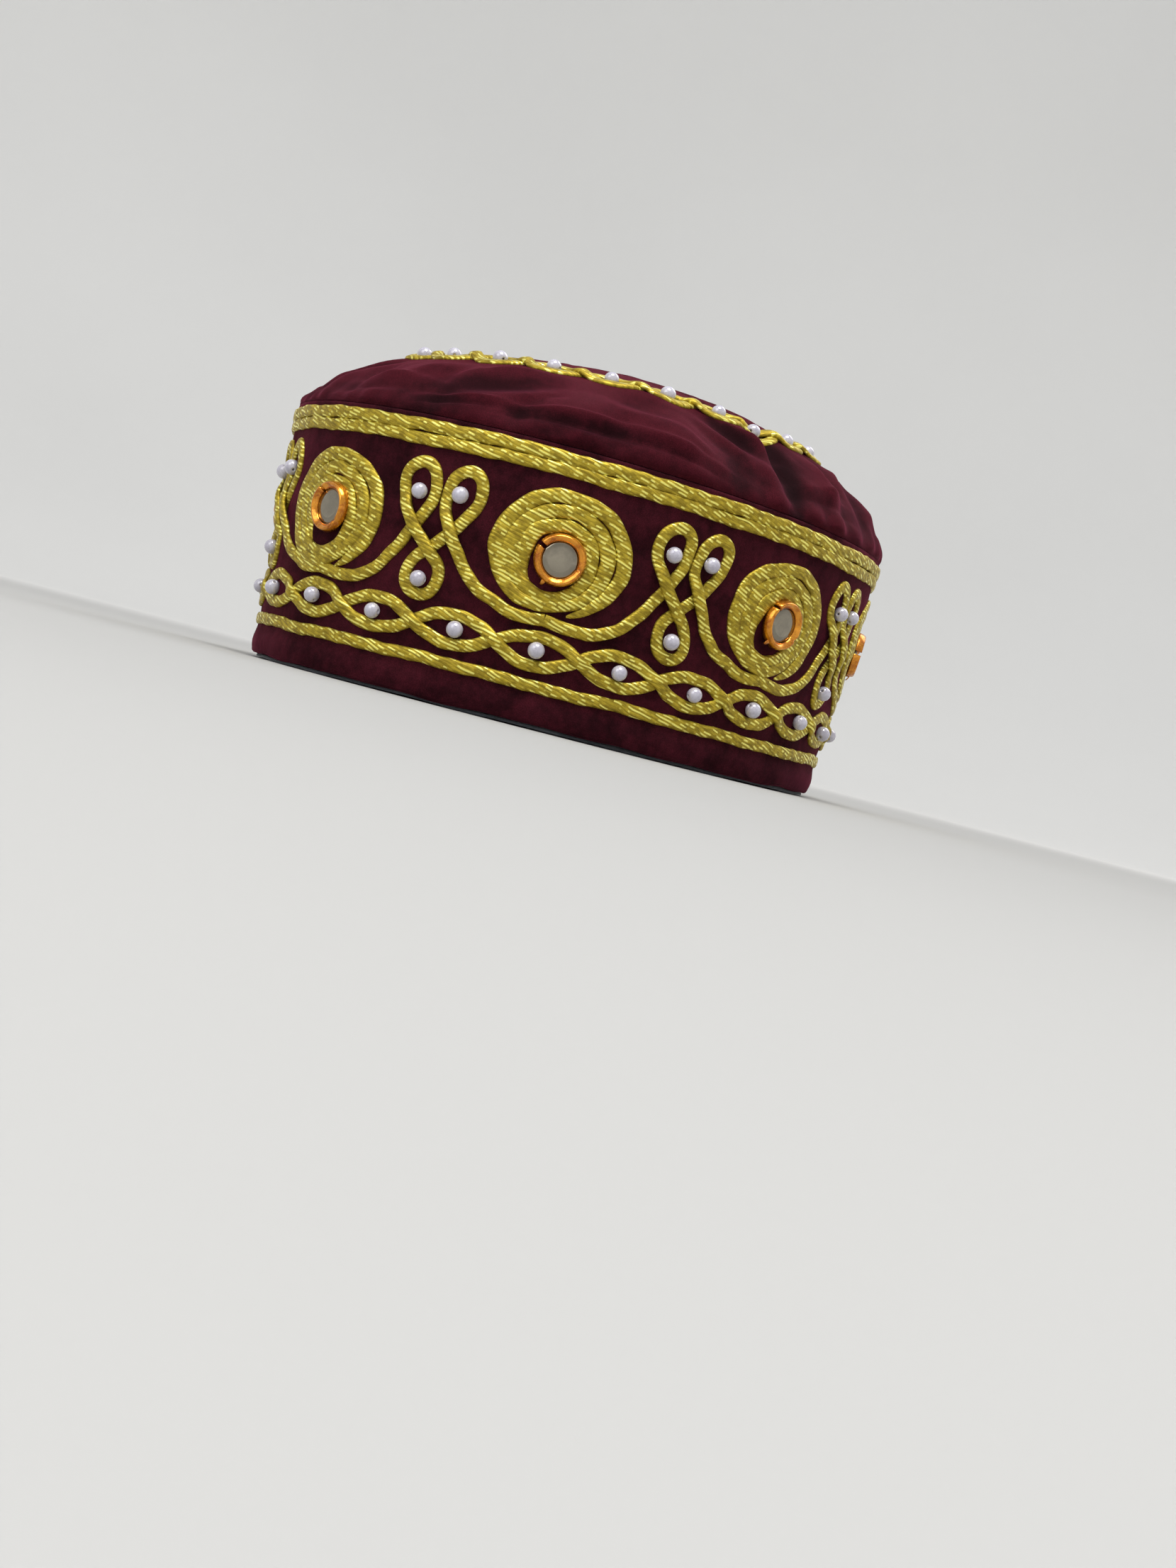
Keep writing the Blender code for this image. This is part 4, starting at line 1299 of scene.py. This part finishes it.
# A thin disc with a bevelled edge and a barely domed face, turned about its axis.
def makeMirror(number):
    place, basis = stoneBasis(number)
    edge = mirror["radius"]
    bevel = mirror["bevel"]
    under = mirror["underside"]
    top = mirror["thickness"]
    crest = top + mirror["dome"]
    radii = np.array([edge * 0.5, edge - bevel, edge, edge, edge - bevel, edge * 0.66, edge * 0.33])
    heights = np.array([under, under, 0.0, top - bevel, top, top + mirror["dome"] * 0.6, crest])
    rows = turnedRows(radii, heights, mirror["columns"])
    quads, _, _ = gridCorners(len(radii), mirror["columns"], False, True)
    ring = np.concatenate([rows.reshape(-1, 3), [[0.0, 0.0, under], [0.0, 0.0, crest]]])
    parts = [quads[:, ::-1], *endFans(len(radii), mirror["columns"], flip=True)]
    piece = meshObject(f"mirror_face_{number + 1}", place + ring @ basis, parts, mirrorGlass)
    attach(piece, root)
    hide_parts(f"mirror_{number + 1}")


for number in range(motifCount):
    makeCup(number)
    makeMirror(number)
print("cups and mirrors set")

# Floor and backdrop: one pale sweep all round, so that no edge shows from any side
sweep = {
    "floorRadius": 1.5,
    "bendRadius": 1.1,
    "wallTop": 2.6,
    "turnsFrom": 0.3,  # distances between which the floor's colour turns into the wall's
    "turnsTo": 1.6,
    "columns": 128,
    "bendRows": 24,
    "floorColour": (0.40, 0.398, 0.389, 1.0),  # darker, since more light falls on it
    "wallColour": (0.80, 0.796, 0.777, 1.0),
}


# Profile turned about Z: a flat disc, a quarter of a circle up, and a straight wall.
def makeSweep():
    bend = np.linspace(0.0, np.pi / 2.0, sweep["bendRows"])
    radii = np.concatenate([[0.02, 0.3, 0.8], sweep["floorRadius"] + sweep["bendRadius"] * np.sin(bend),
                            [sweep["floorRadius"] + sweep["bendRadius"]]])
    heights = np.concatenate([np.zeros(3), sweep["bendRadius"] * (1.0 - np.cos(bend)), [sweep["wallTop"]]])
    rows = turnedRows(radii, heights, sweep["columns"])
    quads, _, _ = gridCorners(len(radii), sweep["columns"], False, True)
    points = np.concatenate([rows.reshape(-1, 3), [[0.0, 0.0, 0.0]]])
    middle = fanCorners(np.arange(sweep["columns"]), len(points) - 1)
    material, tree, shader = newMaterial("paleSweep", {"Roughness": 0.9, "Specular IOR Level": 0.1})
    where = tree.nodes.new("ShaderNodeTexCoord").outputs["Object"]
    flat = addNode(tree, "ShaderNodeVectorMath", {0: where, 1: (1.0, 1.0, 0.0)}, operation="MULTIPLY")
    away = addNode(tree, "ShaderNodeVectorMath", {0: flat.outputs[0]}, operation="LENGTH").outputs["Value"]
    toWall = ramp(tree, away, sweep["turnsFrom"], sweep["turnsTo"])
    colour = blendColours(tree, toWall, sweep["floorColour"], sweep["wallColour"])
    cloudy = ramp(tree, noise(tree, where, 1.3, 3.0), 0.2, 0.8, 0.97, 1.02)
    tree.links.new(darken(tree, colour, cloudy), shader.inputs["Base Color"])
    floor = meshObject("pale_sweep", points, [quads, middle], material)


makeSweep()

# Light: a broad soft window from above and in front, weaker ones across and behind, and a pale sky
lampColumns = ("name", "place", "size", "power", "colour")
lamps = (
    ("window", (0.45, -0.40, 1.75), 1.0, 26.0, (1.0, 0.985, 0.96)),
    ("across", (0.06, -1.05, 0.75), 0.9, 3.7, (0.95, 0.97, 1.0)),
    ("behind", (0.08, 1.05, 1.1), 1.0, 4.6, (1.0, 0.98, 0.95)),
)
lampTarget = (0.0, 0.0, 0.05)
sky = {"colour": (0.93, 0.95, 1.0, 1.0), "strength": 0.70}


def makeLights():
    for row in lamps:
        values = dict(zip(lampColumns, row))
        data = bpy.data.lights.new(values["name"], "AREA")
        data.shape = "DISK"
        data.size = values["size"]
        data.energy = values["power"]
        data.color = values["colour"]
        lamp = bpy.data.objects.new(values["name"], data)
        bpy.context.scene.collection.objects.link(lamp)
        lamp.location = values["place"]
        lamp.rotation_mode = "QUATERNION"
        lamp.rotation_quaternion = (Vector(lampTarget) - lamp.location).to_track_quat("-Z", "Y")
    world = bpy.data.worlds.new("sky")
    bpy.context.scene.world = world
    world.use_nodes = True
    background = world.node_tree.nodes["Background"]
    background.inputs["Color"].default_value = sky["colour"]
    background.inputs["Strength"].default_value = sky["strength"]


makeLights()

# Camera: from the front left and just over the floor, rolled as the cap leans in the picture
camera = {
    "azimuthDeg": 46.3,
    "height": 0.007,
    "distance": 0.66,
    "rollDeg": 14.5,
    "aim": (0.0, 0.0, 0.040),
    "aimPixel": (796.0, 860.0),  # where the aim falls in a picture of 1659 x 2212
    "picture": (1659.0, 2212.0),
    "pixelsPerMetre": 4270.0,  # at the aim
    "sensor": 36.0,
}


# Looks at the aim, rolls, then swings so that the aim falls on its pixel.
def makeCamera():
    data = bpy.data.cameras.new("camera")
    item = bpy.data.objects.new("camera", data)
    bpy.context.scene.collection.objects.link(item)
    aim = Vector(camera["aim"])
    turn = math.radians(camera["azimuthDeg"])
    flat = math.sqrt(camera["distance"] ** 2 - (camera["height"] - aim.z) ** 2)
    item.location = (flat * math.sin(turn), -flat * math.cos(turn), camera["height"])
    ahead = (aim - item.location).normalized()
    right = ahead.cross(Vector((0.0, 0.0, 1.0))).normalized()
    up = right.cross(ahead)
    roll = math.radians(camera["rollDeg"])
    rolledRight = right * math.cos(roll) + up * math.sin(roll)
    rolledUp = up * math.cos(roll) - right * math.sin(roll)
    basis = Matrix((rolledRight, rolledUp, -ahead)).transposed()
    focal = camera["pixelsPerMetre"] * camera["distance"]
    wide, tall = camera["picture"]
    toAim = Vector((camera["aimPixel"][0] - wide / 2.0, tall / 2.0 - camera["aimPixel"][1], -focal))
    swing = Vector((0.0, 0.0, -1.0)).rotation_difference(toAim.normalized()).to_matrix()
    item.rotation_mode = "QUATERNION"
    item.rotation_quaternion = (basis @ swing.transposed()).to_quaternion()
    data.sensor_width = camera["sensor"]
    data.lens = focal / tall * camera["sensor"]
    data.clip_start = 0.01
    data.clip_end = 20.0
    bpy.context.scene.camera = item


makeCamera()
bpy.context.scene.view_settings.view_transform = "Standard"
print("camera and light set")
